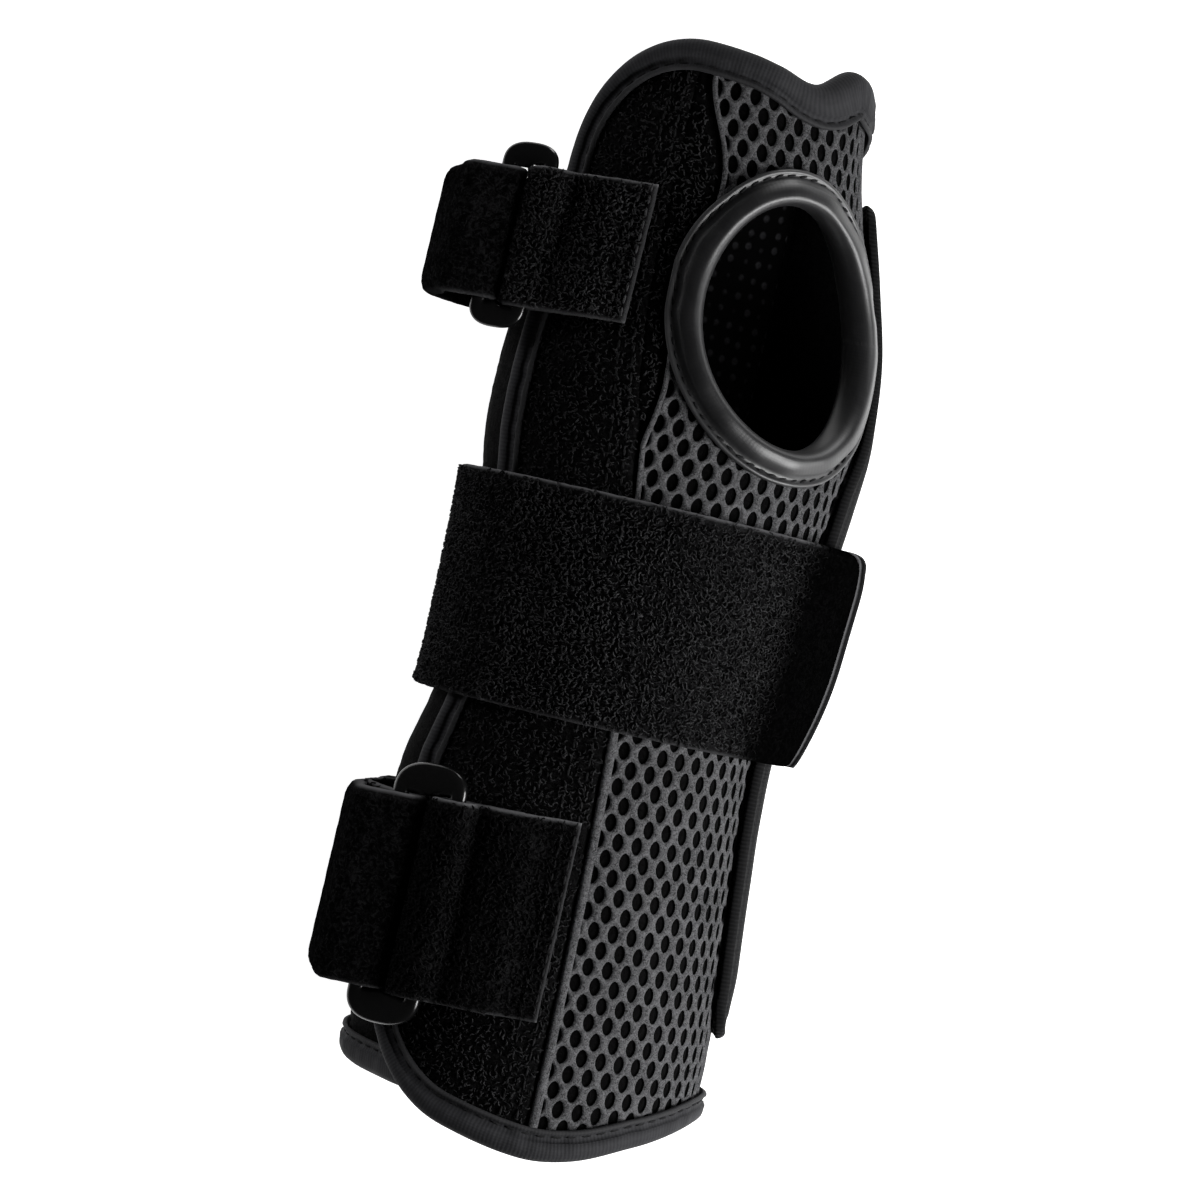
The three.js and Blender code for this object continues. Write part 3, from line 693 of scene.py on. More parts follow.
def finish_material(material, colour, roughness, height, strength, depth):
    """Leads a colour, a roughness and a bump into a material's shader."""
    tree = material.node_tree
    bump = add_node(tree, "ShaderNodeBump", Height=height, Strength=strength, Distance=depth)
    for socket, wire in (("Base Color", colour), ("Roughness", roughness), ("Normal", bump)):
        tree.links.new(wire.socket, tree.nodes["Principled BSDF"].inputs[socket])
    return material


def grey(level):
    """A grey with a trace of blue."""
    return (level, level, level * 1.04, 1.0)


def place_group(tree, group, *values):
    """Outputs of a node group, whose inputs take the values in turn."""
    made = tree.nodes.new("ShaderNodeGroup")
    made.node_tree = group
    for socket, value in zip(made.inputs, values):
        socket.default_value = value
    return [Wire(tree, output) for output in made.outputs]


def grain(tree, per_metre, dark, light, low, high, rough):
    """Colour, height and roughness of a curled grain."""
    return place_group(tree, GRAIN, per_metre, grey(dark), grey(light), low, high, rough)


def mark_of(tree, name):
    return add_node(tree, "ShaderNodeAttribute", output="Fac", attribute_name=name)


# Near black of the painted shade on the wrap strap's end
PAINTED_SHADE_BLACK = grey(0.0004)
PILE_ROUGHNESS = 0.92
PILE_BUMP = 0.9


def pile_material(name, dark, light, per_metre, low=0.42, high=0.68, sheen=0.25, depth=0.0006):
    """Fuzzy cloth or thread in a curled grain, painted near black as shade on the wrap strap's marked end.
    """
    material, tree = new_material(
        name, Specular_IOR_Level=0.05, Sheen_Weight=sheen, Sheen_Roughness=0.45, Sheen_Tint=grey(0.5)
    )
    colour, height, rough = grain(tree, per_metre, dark, light, low, high, PILE_ROUGHNESS)
    # Painted shade: near black where the wrap strap's end is marked
    smooth = mix(tree, mark_of(tree, "bare"), colour, PAINTED_SHADE_BLACK)
    return finish_material(material, smooth, rough, height, PILE_BUMP, depth)


def strap_material():
    """Brushed webbing with paler edges, partly painted highlight, and painted shade on the wrap strap's end:
    near black and smooth.
    """
    material, tree = new_material("brushed_strap_cloth", Specular_IOR_Level=0.0, Sheen_Weight=0.0)
    colour, height, rough = grain(
        tree, 900.0, dark=0.0012, light=0.012, low=0.46, high=0.62, rough=PILE_ROUGHNESS
    )
    bare = mark_of(tree, "bare") * 0.88
    pale_edge_and_highlight_colour = mix(tree, mark_of(tree, "selvedge"), mix(tree, bare, colour, PAINTED_SHADE_BLACK), grey(0.15))
    return finish_material(material, pale_edge_and_highlight_colour, rough, height * (1.0 - bare), PILE_BUMP, depth=0.0008)


def woven_material(name, dark, light, ribs, picks, rough, specular, sheen, depth, waver=0.4, hem=0.03):
    """Woven cloth or tape with fine ribs and lint, and a hem of its own grey where it is marked selvedge,
    which on the bindings is partly painted highlight along the hem's ridge.
    """
    material, tree = new_material(
        name, Specular_IOR_Level=specular, Sheen_Weight=sheen, Sheen_Roughness=0.4, Sheen_Tint=grey(0.6)
    )
    mask, weave = place_group(tree, RIBS, ribs, picks, waver)
    lint, _, roughness = grain(tree, 420.0, dark=0.75, light=1.0, low=0.35, high=0.65, rough=rough)
    wear_and_painted_shade = mix(tree, 1.0, mix(tree, mask, grey(dark), grey(light)), lint, "MULTIPLY")
    pale_edge_and_highlight_colour = mix(tree, mark_of(tree, "selvedge"), wear_and_painted_shade, grey(hem))
    return finish_material(material, pale_edge_and_highlight_colour, roughness, weave, strength=0.7, depth=depth)


def plastic_material():
    """Glossy black plastic with a faint grain from its mould."""
    material, tree = new_material("moulded_black_plastic", Specular_IOR_Level=0.5)
    colour, height, rough = grain(tree, 900.0, dark=0.002, light=0.004, low=0.3, high=0.7, rough=0.22)
    return finish_material(material, colour, rough, height, strength=0.12, depth=0.0001)


def lining_material():
    """Dark knitted lining with a staggered lattice of small light knots."""
    material, tree = new_material("dotted_lining", Specular_IOR_Level=0.1, Sheen_Weight=0.1)
    cloth = add_node(tree, "ShaderNodeUVMap", uv_map="cloth")
    knots = add_node(
        tree, "ShaderNodeTexVoronoi", output="Distance", Vector=cloth, Scale=300.0, Randomness=0.25
    )
    mask = add_node(
        tree, "ShaderNodeMapRange", Value=knots, From_Min=0.16, From_Max=0.3, To_Min=1.0, To_Max=0.0
    )
    shade, _, rough = grain(tree, 800.0, dark=0.6, light=1.0, low=0.4, high=0.65, rough=0.9)
    wear_and_painted_shade = mix(tree, 1.0, mix(tree, mask, grey(0.004), grey(0.09)), shade, "MULTIPLY")
    return finish_material(material, wear_and_painted_shade, rough, mask, strength=0.5, depth=0.0003)


# Pile: dark, light, grain per metre, then the grain's low and high, sheen and depth
LOOP_CLOTH = pile_material("brushed_loop_cloth", 0.001, 0.008, 1000.0, 0.46, 0.64, 0.0, 0.0008)
LOOP_THREAD = pile_material("loop_cloth_thread", 0.006, 0.042, 1500.0, sheen=0.02, depth=0.0001)
STRAP_CLOTH = strap_material()
STRAP_THREAD = pile_material("strap_loop_thread", 0.0065, 0.058, 1500.0, sheen=0.0, depth=0.0001)
# Painted shade: a darker copy of the strap thread for the forearm tab and both ring straps
SHADED_STRAP_THREAD = pile_material("shaded_strap_loop_thread", 0.002, 0.012, 1500.0, sheen=0.0, depth=0.0001)
NET_THREAD = pile_material("grey_net_thread", 0.025, 0.165, 2100.0, 0.4, 0.6, 0.03, 0.0008)
NET_BACK = pile_material("dark_net_backing", 0.0006, 0.003, 900.0, sheen=0.0)
SEWING_THREAD = pile_material("sewing_thread", 0.01, 0.025, 2400.0, sheen=0.0, depth=0.0001)
PALE_THREAD = pile_material("pale_sewing_thread", 0.025, 0.07, 2400.0, sheen=0.0, depth=0.0001)
# Weaves: dark, light, ribs and picks per metre, roughness, specular level, sheen, depth, waver, hem
POCKET_CLOTH = woven_material("corded_pocket_cloth", 0.0016, 0.006, 1250.0, 900.0, 0.85, 0.1, 0.0, 0.0003)
EDGE_TAPE = woven_material("ribbed_edge_tape", 0.024, 0.032, 1300.0, 1900.0, 0.7, 0.08, 0.01, 0.00006)
SATIN_TAPE = woven_material("satin_thumb_tape", 0.009, 0.011, 1500.0, 2400.0, 0.42, 0.52, 0.01, 0.00001)
HOOK_PATCH = woven_material("hook_patch", 0.001, 0.006, 700.0, 700.0, 0.8, 0.05, 0.0, 0.0006, 0.1, 0.09)
RING_PLASTIC = plastic_material()
LINING = lining_material()

PILE_TREE = brushed_pile_tree()
LOOP_TREE = loop_pile_tree()
NET_TREE = knitted_net_tree()
STITCH_TREE = stitch_row_tree()


# Sleeve panels

def panel_places(from_turn, to_turn, across, rows):
    """Turns and heights of a panel's grid; across runs from 0 at one seam to 1 at the other."""
    along = np.linspace(0, 1, rows)[None, :]
    y = np.zeros((len(across), rows))
    turn = y
    for _ in range(5):
        low, high = from_turn(y), to_turn(y)
        turn = low + (high - low) * across[:, None]
        y = forearm_edge(turn, PANEL_MARGIN) * (1 - along) + hand_edge(turn, PANEL_MARGIN) * along
    return turn, y


def brush(piece, cloth, tuft, per_metre):
    """Raises small tufts all over a piece of brushed cloth."""
    return through_nodes(
        piece, PILE_TREE,
        {"Tuft Height": tuft * MM, "Tufts per Metre": per_metre, "Material": cloth, "Lining": LINING},
    )


def pinch_at_ends(turn, y):
    """How far the stitched binding draws the padding down near either end."""
    deep, spread = 0.35, 2.2
    near = np.minimum(hand_edge(turn) - y, y - forearm_edge(turn))
    return deep * bell(near - BINDING_WIDTH, spread)


def panel_piece(name, from_turn, to_turn, width, cell, tuft):
    """Padded panel, brushed outside and rolled over at its seams, its outside grid and the way out there."""
    places = edged(width, cell, PANEL_BEAD)
    rows = round(PANEL_LENGTH / cell)
    turn, y = panel_places(from_turn, to_turn, places / width, rows)
    share = bead_share(np.minimum(places, width - places), PANEL_BEAD)[:, None]
    outer = sleeve_point(turn, y, -ROLLED_OUTSIDE * (1 - share) * WALL - pinch_at_ends(turn, y))
    inner = sleeve_point(turn, y, -WALL + ROLLED_INSIDE * (1 - share) * WALL)
    piece = sheet_piece(name, outer, inner, LOOP_CLOTH, places[:, None], y)
    outside = (len(places) - 1) * (rows - 1)
    number = np.arange(len(piece.data.polygons))
    mark(piece, "lining", "FACE", (number >= outside) & (number < 2 * outside))
    brush(piece, LOOP_CLOTH, tuft, PANEL_TUFTS_PER_METRE)
    return piece, outer, with_way_out(turn, y, 0.0)[1]


def loop_pile(name, grid, out, material, per_square_mm, seed, bare=0.0):
    """Pile of loops on a grid of points, above the ground; out is the way out of the cloth there.

    The last argument says how far each point of the grid lies in the painted shade of the wrap strap's end,
    where the loops thin out."""
    points = grid.reshape(-1, 3)
    faces = facing(points, grid_faces(*grid.shape[:2])[1], out.reshape(-1, 3))
    piece = make_piece(name, points, faces[points[faces, 2].min(1) > PILE_LEVEL], material)
    mark(piece, "bare", "POINT", np.broadcast_to(bare, grid.shape[:2]))
    loops = {"Loops per Square Metre": per_square_mm / MM ** 2, "Seed": seed, "Material": material}
    return through_nodes(piece, LOOP_TREE, loops | PILE_LOOP)


join_step = GAP / 2 / OUTER_MM_PER_DEGREE
seam_lap = 1.0 / OUTER_MM_PER_DEGREE
flap_step = (TAPE + GAP) / OUTER_MM_PER_DEGREE
tuck_step = (TAPE + GAP) / INNER_MM_PER_DEGREE
loop_panel, front_grid, front_out = panel_piece(
    "brushed_front_panel", lambda y: FLAP_EDGE + flap_step + 0 * y, lambda y: seam_turn(y) - join_step,
    width=38.0, cell=FRONT_CELL, tuft=0.45,
)
back_panel = panel_piece(
    "brushed_back_panel", lambda y: PANEL_JOIN + join_step + 0 * y,
    lambda y: TUCKED_EDGE - tuck_step + 0 * y, width=104.0, cell=BACK_CELL, tuft=0.5,
)[0]
front_pile = loop_pile(
    "front_panel_pile", front_grid[2:-2], front_out[2:-2], LOOP_THREAD, FRONT_LOOPS_PER_SQUARE_MM, seed=21
)


# Thumb hole

thumb_scale = mm_per_degree(np.array(THUMB["turn"]), np.array(THUMB["y"]))
thumb_cos, thumb_sin = math.cos(math.radians(THUMB["lean"])), math.sin(math.radians(THUMB["lean"]))


def thumb_share(across, along):
    return np.hypot(across / THUMB["half_round"], along / THUMB["half_long"])


def thumb_rim(angle, grow):
    """Places on the hole's rim, grown by some millimetres, and their distance as a share of the rim's."""
    across = (THUMB["half_round"] + grow) * np.cos(angle)
    along = (THUMB["half_long"] + grow) * np.sin(angle)
    turn = THUMB["turn"] + (across * thumb_cos - along * thumb_sin) / thumb_scale
    y = THUMB["y"] + along * thumb_cos + across * thumb_sin * THUMB["lean_along"]
    return turn, y, thumb_share(across, along)


def thumb_outline(steps, grow=0.0):
    """Path round the thumb hole, run so that its right side is away from the hole."""
    return thumb_rim(np.linspace(0, math.tau, steps, endpoint=False), grow)[:2]


def thumb_place(turn, y):
    """Place in the hole's own oval: distance from its middle as a share of the rim, and the angle."""
    off_round, off_long = (turn - THUMB["turn"]) * thumb_scale, y - THUMB["y"]
    spread = thumb_cos ** 2 + THUMB["lean_along"] * thumb_sin ** 2
    across = (off_round * thumb_cos + off_long * thumb_sin) / spread
    along = (off_long * thumb_cos - THUMB["lean_along"] * off_round * thumb_sin) / spread
    return thumb_share(across, along), np.arctan2(along / THUMB["half_long"], across / THUMB["half_round"])


def outside_thumb(turn, y, grow):
    """Moves places that lie in the thumb hole, grown by some millimetres, out to its rim."""
    share, angle = thumb_place(turn, y)
    rim_turn, rim_y, limit = thumb_rim(angle, grow)
    return np.where(share < limit, rim_turn, turn), np.where(share < limit, rim_y, y)


# Mesh panel: a dark backing with a knitted net over it

def cut_thumb_hole(piece):
    steps, lifts = 120, (-12.0, 7.0)
    turn, y = thumb_outline(steps, PANEL_MARGIN)
    rings = [sleeve_point(turn, y, lift) for lift in lifts]
    hubs = [np.broadcast_to(sleeve_point(THUMB["turn"], THUMB["y"], lift), (steps, 3)) for lift in lifts]
    plug = swept_piece("thumb_plug", np.stack([hubs[0], *rings, hubs[1]], axis=1), None)
    cut = piece.modifiers.new("thumb_hole", "BOOLEAN")
    cut.operation = "DIFFERENCE"
    cut.solver = "EXACT"
    cut.use_self = False
    cut.object = plug
    apply_modifier(piece, cut)
    bpy.data.objects.remove(plug)


def mesh_backing():
    """Backing of the mesh panel, raised to the brushed panel's level where the net stands back."""
    columns, rows, raised = 72, 108, 0.9
    turn, y = panel_places(
        lambda y: seam_turn(y) - seam_lap, lambda y: PANEL_JOIN + seam_lap + 0 * y,
        np.linspace(0, 1, columns), rows,
    )
    setback = smoothstep(read_table(NET_SETBACK, 1, y), 1, 4)
    beside_net = smoothstep(net_edge_turn(y) - turn, 0.5, 2.5) * setback
    outer = sleeve_point(turn, y, NET_LEVEL - NET_DEPTH * (1 - raised * beside_net))
    inner = sleeve_point(turn, y, -WALL)
    piece = sheet_piece("mesh_panel_backing", outer, inner, NET_BACK, turn * OUTER_MM_PER_DEGREE, y)
    cut_thumb_hole(piece)
    return piece


def net_places(x, y):
    """Turns of places on the flat net, which is wrapped round the sleeve from a line on its right side."""
    line, first, last = 60.0, -28, 158
    turns = np.linspace(first, last, 2 * (last - first) + 1)
    turn = np.empty(len(x))
    for height in np.unique(y):
        arc = run_lengths(sleeve_point(turns, height))
        row = y == height
        turn[row] = np.interp(x[row], arc - np.interp(line, turns, arc), turns)
    return turn


def net_base():
    """Hexagons of the net on the flat cloth, wrapped onto the sleeve and drawn in at the panel's edges."""
    half, tip, shoulder = NET_PITCH_ROUND / 2, 0.37 * NET_PITCH_LONG, 0.13 * NET_PITCH_LONG
    corner_x = np.array([0, -half, -half, 0, half, half])
    corner_y = np.array([tip, shoulder, -shoulder, -tip, -shoulder, shoulder])
    column, row = np.meshgrid(np.arange(-16, 22), np.arange(-38, 40), indexing="ij")
    x = ((column + 0.5 * (row % 2)).ravel() * NET_PITCH_ROUND)[:, None] + corner_x
    y = (row.ravel() * NET_PITCH_LONG / 2)[:, None] + corner_y
    keys, index = np.unique(np.round(np.stack([x, y], -1).reshape(-1, 2), 3), axis=0, return_inverse=True)
    cells = index.reshape(-1, 6)
    turn, y = net_places(*keys.T), keys[:, 1].copy()
    in_hole = thumb_place(turn[cells].mean(1), y[cells].mean(1))[0] < 1 + NET_HOLE_GROW / THUMB["half_long"]
    seam_clear = join_step + 0.5
    for _ in range(2):
        turn = np.clip(turn, net_edge_turn(y) + seam_clear, PANEL_JOIN - seam_clear)
        y = np.clip(y, forearm_edge(turn, NET_INSET), hand_edge(turn, NET_INSET))
        turn, y = outside_thumb(turn, y, NET_HOLE_GROW + 1.0)
    flat_x, flat_y = turn[cells] * OUTER_MM_PER_DEGREE, y[cells]
    area = 0.5 * np.abs(np.sum(flat_x * np.roll(flat_y, -1, 1) - np.roll(flat_x, -1, 1) * flat_y, axis=1))
    middle_turn, middle_y = turn[cells].mean(1), y[cells].mean(1)
    lap_turn, lap_y = 8, 12
    under_pocket = (
        (middle_turn > read_table(POCKET_NEAR, 1, middle_y) + lap_turn)
        & (middle_turn < POCKET["far"] - lap_turn)
        & (middle_y > POCKET["from"] + lap_y) & (middle_y < POCKET["to"] - lap_y)
    )
    least_area = 0.3 * NET_PITCH_ROUND * NET_PITCH_LONG / 2
    cells = cells[(area > least_area) & ~under_pocket & ~in_hole]
    used, cells = np.unique(cells, return_inverse=True)
    cells = cells.reshape(-1, 6)
    turn, y = turn[used], y[used]
    points, out = with_way_out(turn, y, NET_LEVEL)
    flat = flat_places(turn * OUTER_MM_PER_DEGREE, y)
    return make_piece("mesh_panel_net", points, facing(points, cells, out), NET_THREAD, flat)


def net_selvedge():
    """Rolled border of the net along its near edge, bolder on the forearm's side of the wrap strap."""
    rows, thinner, middle, half, sunk, crown = 220, 0.45, 1.0, 0.9, 0.15, 0.6
    low, high = (np.array([seam_turn(near_end)]) for near_end in (-100.0, 100.0))
    y = np.linspace(forearm_edge(low, NET_INSET)[0], hand_edge(high, NET_INSET)[0], rows)[None, :]
    angle = np.linspace(0, np.pi, 9)[:, None]
    size = 1 - thinner * smoothstep(y, WRAP["from"], WRAP["to"])
    across = middle - half * size * np.cos(angle)
    turn = net_edge_turn(y) + across / mm_per_degree(net_edge_turn(y), y)
    outer = sleeve_point(turn, y, NET_LEVEL - sunk + crown * size * np.sin(angle))
    inner = sleeve_point(turn, y, NET_LEVEL - NET_DEPTH + 0 * angle)
    return sheet_piece("mesh_panel_selvedge", outer, inner, NET_THREAD)


def strip_beside_net():
    """Pile on the strip of cloth between the brushed panel and the net, beside the thumb hole."""
    low, high, least_turn, short_of_net, clear = 34, 101, 0.2, 1.5, 0.6
    y = np.linspace(low, high, high - low + 1)[None, :]
    across = np.linspace(0, 1, 8)[:, None]
    wide = np.maximum(read_table(NET_SETBACK, 1, y) - short_of_net, least_turn)
    turn = seam_turn(y) + join_step + wide * across
    turn, y = outside_thumb(turn, y + 0 * across, THUMB_BINDING_WIDTH + clear)
    strip = with_way_out(turn, y, NET_LEVEL)
    return loop_pile("seam_strip_pile", *strip, LOOP_THREAD, FRONT_LOOPS_PER_SQUARE_MM, seed=22)


net_back = mesh_backing()
seam_strip_pile = strip_beside_net()
selvedge = net_selvedge()
net = through_nodes(
    net_base(), NET_TREE,
    {
        "Shoulder Depth": 0.55 * MM, "Shoulder Share": 0.49, "Shoulder Stretch": 1.8,
        "Hole Depth": (NET_DEPTH - 0.5) * MM, "Hole Share": 0.94, "Material": NET_THREAD,
        # Painted shade: the holes' walls take the dark backing
        "Painted Hole Shade": NET_BACK,
    },
)


# Bindings

def sleeve_outline(step):
    """Path round the whole sleeve as turns and heights, evenly spaced along its length."""
    quarter = 1 - np.cos(np.linspace(0, np.pi / 2, 40))

    def end_turns(end):
        flap = FLAP_EDGE + quarter * FLAP_CORNERS[end] / OUTER_MM_PER_DEGREE
        tuck = (TUCKED_EDGE - quarter * TUCKED_CORNERS[end] / INNER_MM_PER_DEGREE)[::-1]
        return np.concatenate([flap, np.linspace(flap[-1], tuck[0], 240)[1:-1], tuck])

    hand, forearm = end_turns("hand"), end_turns("forearm")[::-1]
    hand_y, forearm_y = hand_edge(hand), forearm_edge(forearm)
    down = np.linspace(hand_y[-1], forearm_y[0], 120)[1:-1]
    back = np.linspace(forearm_y[-1], hand_y[0], 120)[1:]
    turn = np.concatenate([hand, np.full(len(down), TUCKED_EDGE), forearm, np.full(len(back), FLAP_EDGE)])
    y = np.concatenate([hand_y, down, forearm_y, back])
    return even_path(np.roll(turn, -len(hand)), np.roll(y, -len(hand)), step)


def even_path(turn, y, step):
    """Closed path of places, spaced evenly along the sleeve's face, and the length at each of them."""
    turn, y = np.append(turn, turn[0]), np.append(y, y[0])
    along = run_lengths(sleeve_point(turn, y))
    lengths = np.linspace(0, along[-1], round(along[-1] / step), endpoint=False)
    return np.interp(lengths, along, turn), np.interp(lengths, along, y), lengths


def inward_places(turn, y, inward):
    """Places at a distance from a closed path, to the right of the way it runs."""
    scale = mm_per_degree(turn, y)
    reach = range(-(HEM_SMOOTHING // 2), HEM_SMOOTHING // 2 + 1)
    run_x = sum(np.roll((np.roll(turn, -1) - np.roll(turn, 1)) * scale, k) for k in reach)
    run_y = sum(np.roll(np.roll(y, -1) - np.roll(y, 1), k) for k in reach)
    size = np.hypot(run_x, run_y)
    return (
        turn[:, None] + (run_y / size / scale)[:, None] * inward,
        y[:, None] - (run_x / size)[:, None] * inward,
    )


def folded_section(width, top, nose, crown, hem):
    """Half section of a folded tape from its free edge round the nose: inward distance and lift.

    A rolled hem runs along the free edge, and a stitched valley parts it from the body."""
    angle = np.linspace(np.pi / 2, 0, 8)
    from_edge = np.array([0.0, 0.06, 0.3, 0.6, 0.9, HEM_STITCH, 1.8, 2.5])
    hem_share = np.array([0.0, 0.5, 0.95, 1.0, 0.75, 0.25, 0.45, 0.8])
    body_in, body_up = (width + nose) / 2 - 0.4, top + 0.7 * crown
    flat_in = np.append(width - from_edge, body_in)
    flat_up = np.append(BINDING_INSIDE + (hem - BINDING_INSIDE) * hem_share, body_up)
    return (
        np.concatenate([flat_in, nose * (1 - np.cos(angle))]),
        np.concatenate([flat_up, (top + crown) * np.sin(angle)]),
    )


def unevenness(lengths, shortest, draw):
    """Smooth rise and fall round a closed path, of random waves down to a shortest one."""
    count = round(lengths[-1] / shortest)
    turns = np.outer(lengths / (lengths[-1] + lengths[1]) * math.tau, np.arange(1, count + 1))
    return np.sum(np.cos(turns + draw.uniform(0, math.tau, count)), axis=1) * math.sqrt(2 / count)


def binding_piece(name, material, path, section, pucker, pitch, seed, extra=0.0):
    """Folded tape swept round an edge of the sleeve, puckered between its stitches.

    extra widens it by some millimetres at each place on the path. Returns the piece and the tape's width."""
    turn, y, lengths = path
    top_in, top_up = section
    # The fold's inside, from its free edge to its nose
    lining_in = np.array([top_in[0], TAPE + 1.2, TAPE + 0.35, TAPE])
    lining_up = BINDING_INSIDE * np.array([1.0, 1.0, 0.8, 0.0])
    inward = np.concatenate([top_in, top_in[-2::-1], lining_in[1:], lining_in[-2:0:-1]])
    lift = np.concatenate([top_up, -top_up[-2::-1], -lining_up[1:], lining_up[-2:0:-1]])
    widest, unmoved, hem_middle = inward.max(), 2.5, 0.4
    wider = np.broadcast_to(extra, turn.shape)[:, None] * smoothstep(inward, unmoved, widest - unmoved)
    places = inward_places(turn, y, inward[None, :] + wider)
    draw = np.random.default_rng(seed)
    puckers = unevenness(lengths, pitch, draw)[:, None]
    slow = unevenness(lengths, 5 * pitch, draw)[:, None]
    above = BINDING_INSIDE + 0.05
    outside = (np.abs(lift) > above).astype(float) * np.sign(lift)
    body = bell(inward - 0.62 * widest, 0.3 * widest)
    ripple = pucker * (puckers * body + 0.7 * slow * (1 - 0.5 * body))
    points = sleeve_point(*places, lift + outside * ripple - WALL / 2)
    across = run_lengths(np.stack([inward, lift], -1))[None, :]
    piece = swept_piece(name, points, material, across, lengths[:, None])
    # The hem is painted lighter: partly its own tone, partly painted highlight along its ridge
    hem_tone_and_highlight = bell(widest - inward - hem_middle, hem_middle) * (lift > above)
    mark(piece, "selvedge", "POINT", np.broadcast_to(hem_tone_and_highlight, points.shape[:2]))
    return piece, 2 * run_lengths(np.stack(section, -1))[-1]


def hand_widening(turn, y):
    """How much wider the binding is at the hand end, beside the thumb hole."""
    rises, falls = (0, 48), (64, 90)
    beside_thumb = smoothstep(turn, *rises) * (1 - smoothstep(turn, *falls))
    return HAND_BINDING_EXTRA * beside_thumb * (y > 0)


edge_path = sleeve_outline(step=1.1)
edge_extra = hand_widening(*edge_path[:2])
edge_section = folded_section(
    BINDING_WIDTH, BINDING_INSIDE + TAPE, nose=2.4, crown=0.12, hem=BINDING_INSIDE + 0.9
)
edge_binding, edge_tape_width = binding_piece(
    "edge_binding_tape", EDGE_TAPE, edge_path, edge_section,
    pucker=0.12, pitch=3.2, seed=11, extra=edge_extra,
)
thumb_path = even_path(*thumb_outline(steps=400), step=0.7)
thumb_section = folded_section(
    THUMB_BINDING_WIDTH, BINDING_INSIDE + 1.15, nose=1.9, crown=0.4, hem=BINDING_INSIDE + 0.75
)
thumb_binding, thumb_tape_width = binding_piece(
    "thumb_binding_roll", SATIN_TAPE, thumb_path, thumb_section, pucker=0.14, pitch=6.0, seed=5
)


# Pocket of the stay

def stay_pocket():
    """Padded strip over the stay, with rounded corners and sewn down along its edges."""
    bead, cell_round, cell_long = 1.5, 1.2, 1.25
    padding, stitch_depth, stitch_spread = 0.7, 0.35, 0.8
    width = (POCKET["far"] - POCKET_NEAR[0, 1]) * OUTER_MM_PER_DEGREE
    across = edged(width, cell_round, bead) / width
    edge = np.minimum(across, 1 - across) * width
    drop = corner_drop(edge, POCKET["corner"])[:, None]
    length = POCKET["to"] - POCKET["from"]
    along = (edged(length, cell_long, bead) / length)[None, :]
    y = (POCKET["from"] + drop) * (1 - along) + (POCKET["to"] - drop) * along
    near = read_table(POCKET_NEAR, 1, y)
    turn = near + (POCKET["far"] - near) * across[:, None]
    end = np.minimum(along, 1 - along) * length
    share = bead_share(edge, bead)[:, None] * bead_share(end, bead)
    crown = padding * smoothstep(edge, 2.0, 9.0)[:, None] * smoothstep(end, 3.0, 14.0)
    trough = stitch_depth * bell(np.minimum(edge[:, None], end) - POCKET_STITCH, stitch_spread)
    outer = sleeve_point(turn, y, POCKET["lift"] + POCKET["thickness"] * share + crown - trough)
    inner = sleeve_point(turn, y, POCKET["lift"] + 0 * share)
    return sheet_piece("stay_pocket_cover", outer, inner, POCKET_CLOTH, across[:, None] * width, y)


pocket = stay_pocket()


# Webbing

def ribbon(name, material, width, low, line, cell, thickness, bead, bare=np.zeros_like, pale_end=(0.0, 0.2)):
    """Strip of webbing along line(y), with rounded edges.

    The end-shade function of y gives the length of its last stretch that is painted in shade, near black and
    without pile; pale_end says how far from the end a pale line runs across it and how pale that is. Its
    edges are painted paler, partly as painted highlight. Returns the piece, the grid of points on its
    outside, the way out of the cloth there, its length and how far each point lies in the painted end shade."""
    places = edged(width, cell, bead)
    ys = low + places
    rows = list(np.moveaxis(line(ys), 1, 0))
    whole = run_lengths(rows[len(rows) // 2])[-1]
    along = edged(whole, cell, bead) / whole
    middle = np.stack([at_lengths(row, along * run_lengths(row)[-1]) for row in rows], axis=1)
    run = np.gradient(middle, axis=0)
    run[..., 1] = 0
    run /= np.linalg.norm(run, axis=-1, keepdims=True)
    out = np.stack([-run[..., 2], 0 * run[..., 0], run[..., 0]], axis=-1)
    ends = np.minimum(along, 1 - along) * whole
    sides = np.minimum(places, width - places)
    share = bead_share(ends, bead)[:, None] * bead_share(sides, bead)[None, :]
    half = (thickness / 2 * share)[..., None]
    top = middle + out * half
    piece = sheet_piece(name, top, middle - out * half, material, places[None, :], (along * whole)[:, None])
    to_end = (1 - along)[:, None] * whole
    bare = bare(ys)
    # Painted highlight, partly a paler edge: both edges are painted paler, the lower one, turned from the
    # light, less
    pale_edges_and_highlight = np.where(places > width / 2, 1.0, SHADED_LOWER_EDGE_SHARE) * bell(sides, STRAP_PALE_EDGE_AND_HIGHLIGHT)
    # Painted shade on the strap's last stretch, blending in over the fade
    wear_and_painted_shade = smoothstep(bare - to_end, 0, WRAP["fade"]) * (bare > 0)
    line_at, line_share = pale_end
    pale_edges_and_highlight = pale_edges_and_highlight * (1 - wear_and_painted_shade) + line_share * bell(to_end - line_at, END_LINE)
    mark(piece, "selvedge", "POINT", pale_edges_and_highlight, pale_edges_and_highlight)
    mark(piece, "bare", "POINT", wear_and_painted_shade, wear_and_painted_shade)
    return {"piece": piece, "top": top, "out": out, "length": whole, "wear_and_painted_shade": wear_and_painted_shade}


def off_wrap_middle(ys):
    return 2 * (ys - WRAP["from"]) / (WRAP["to"] - WRAP["from"]) - 1


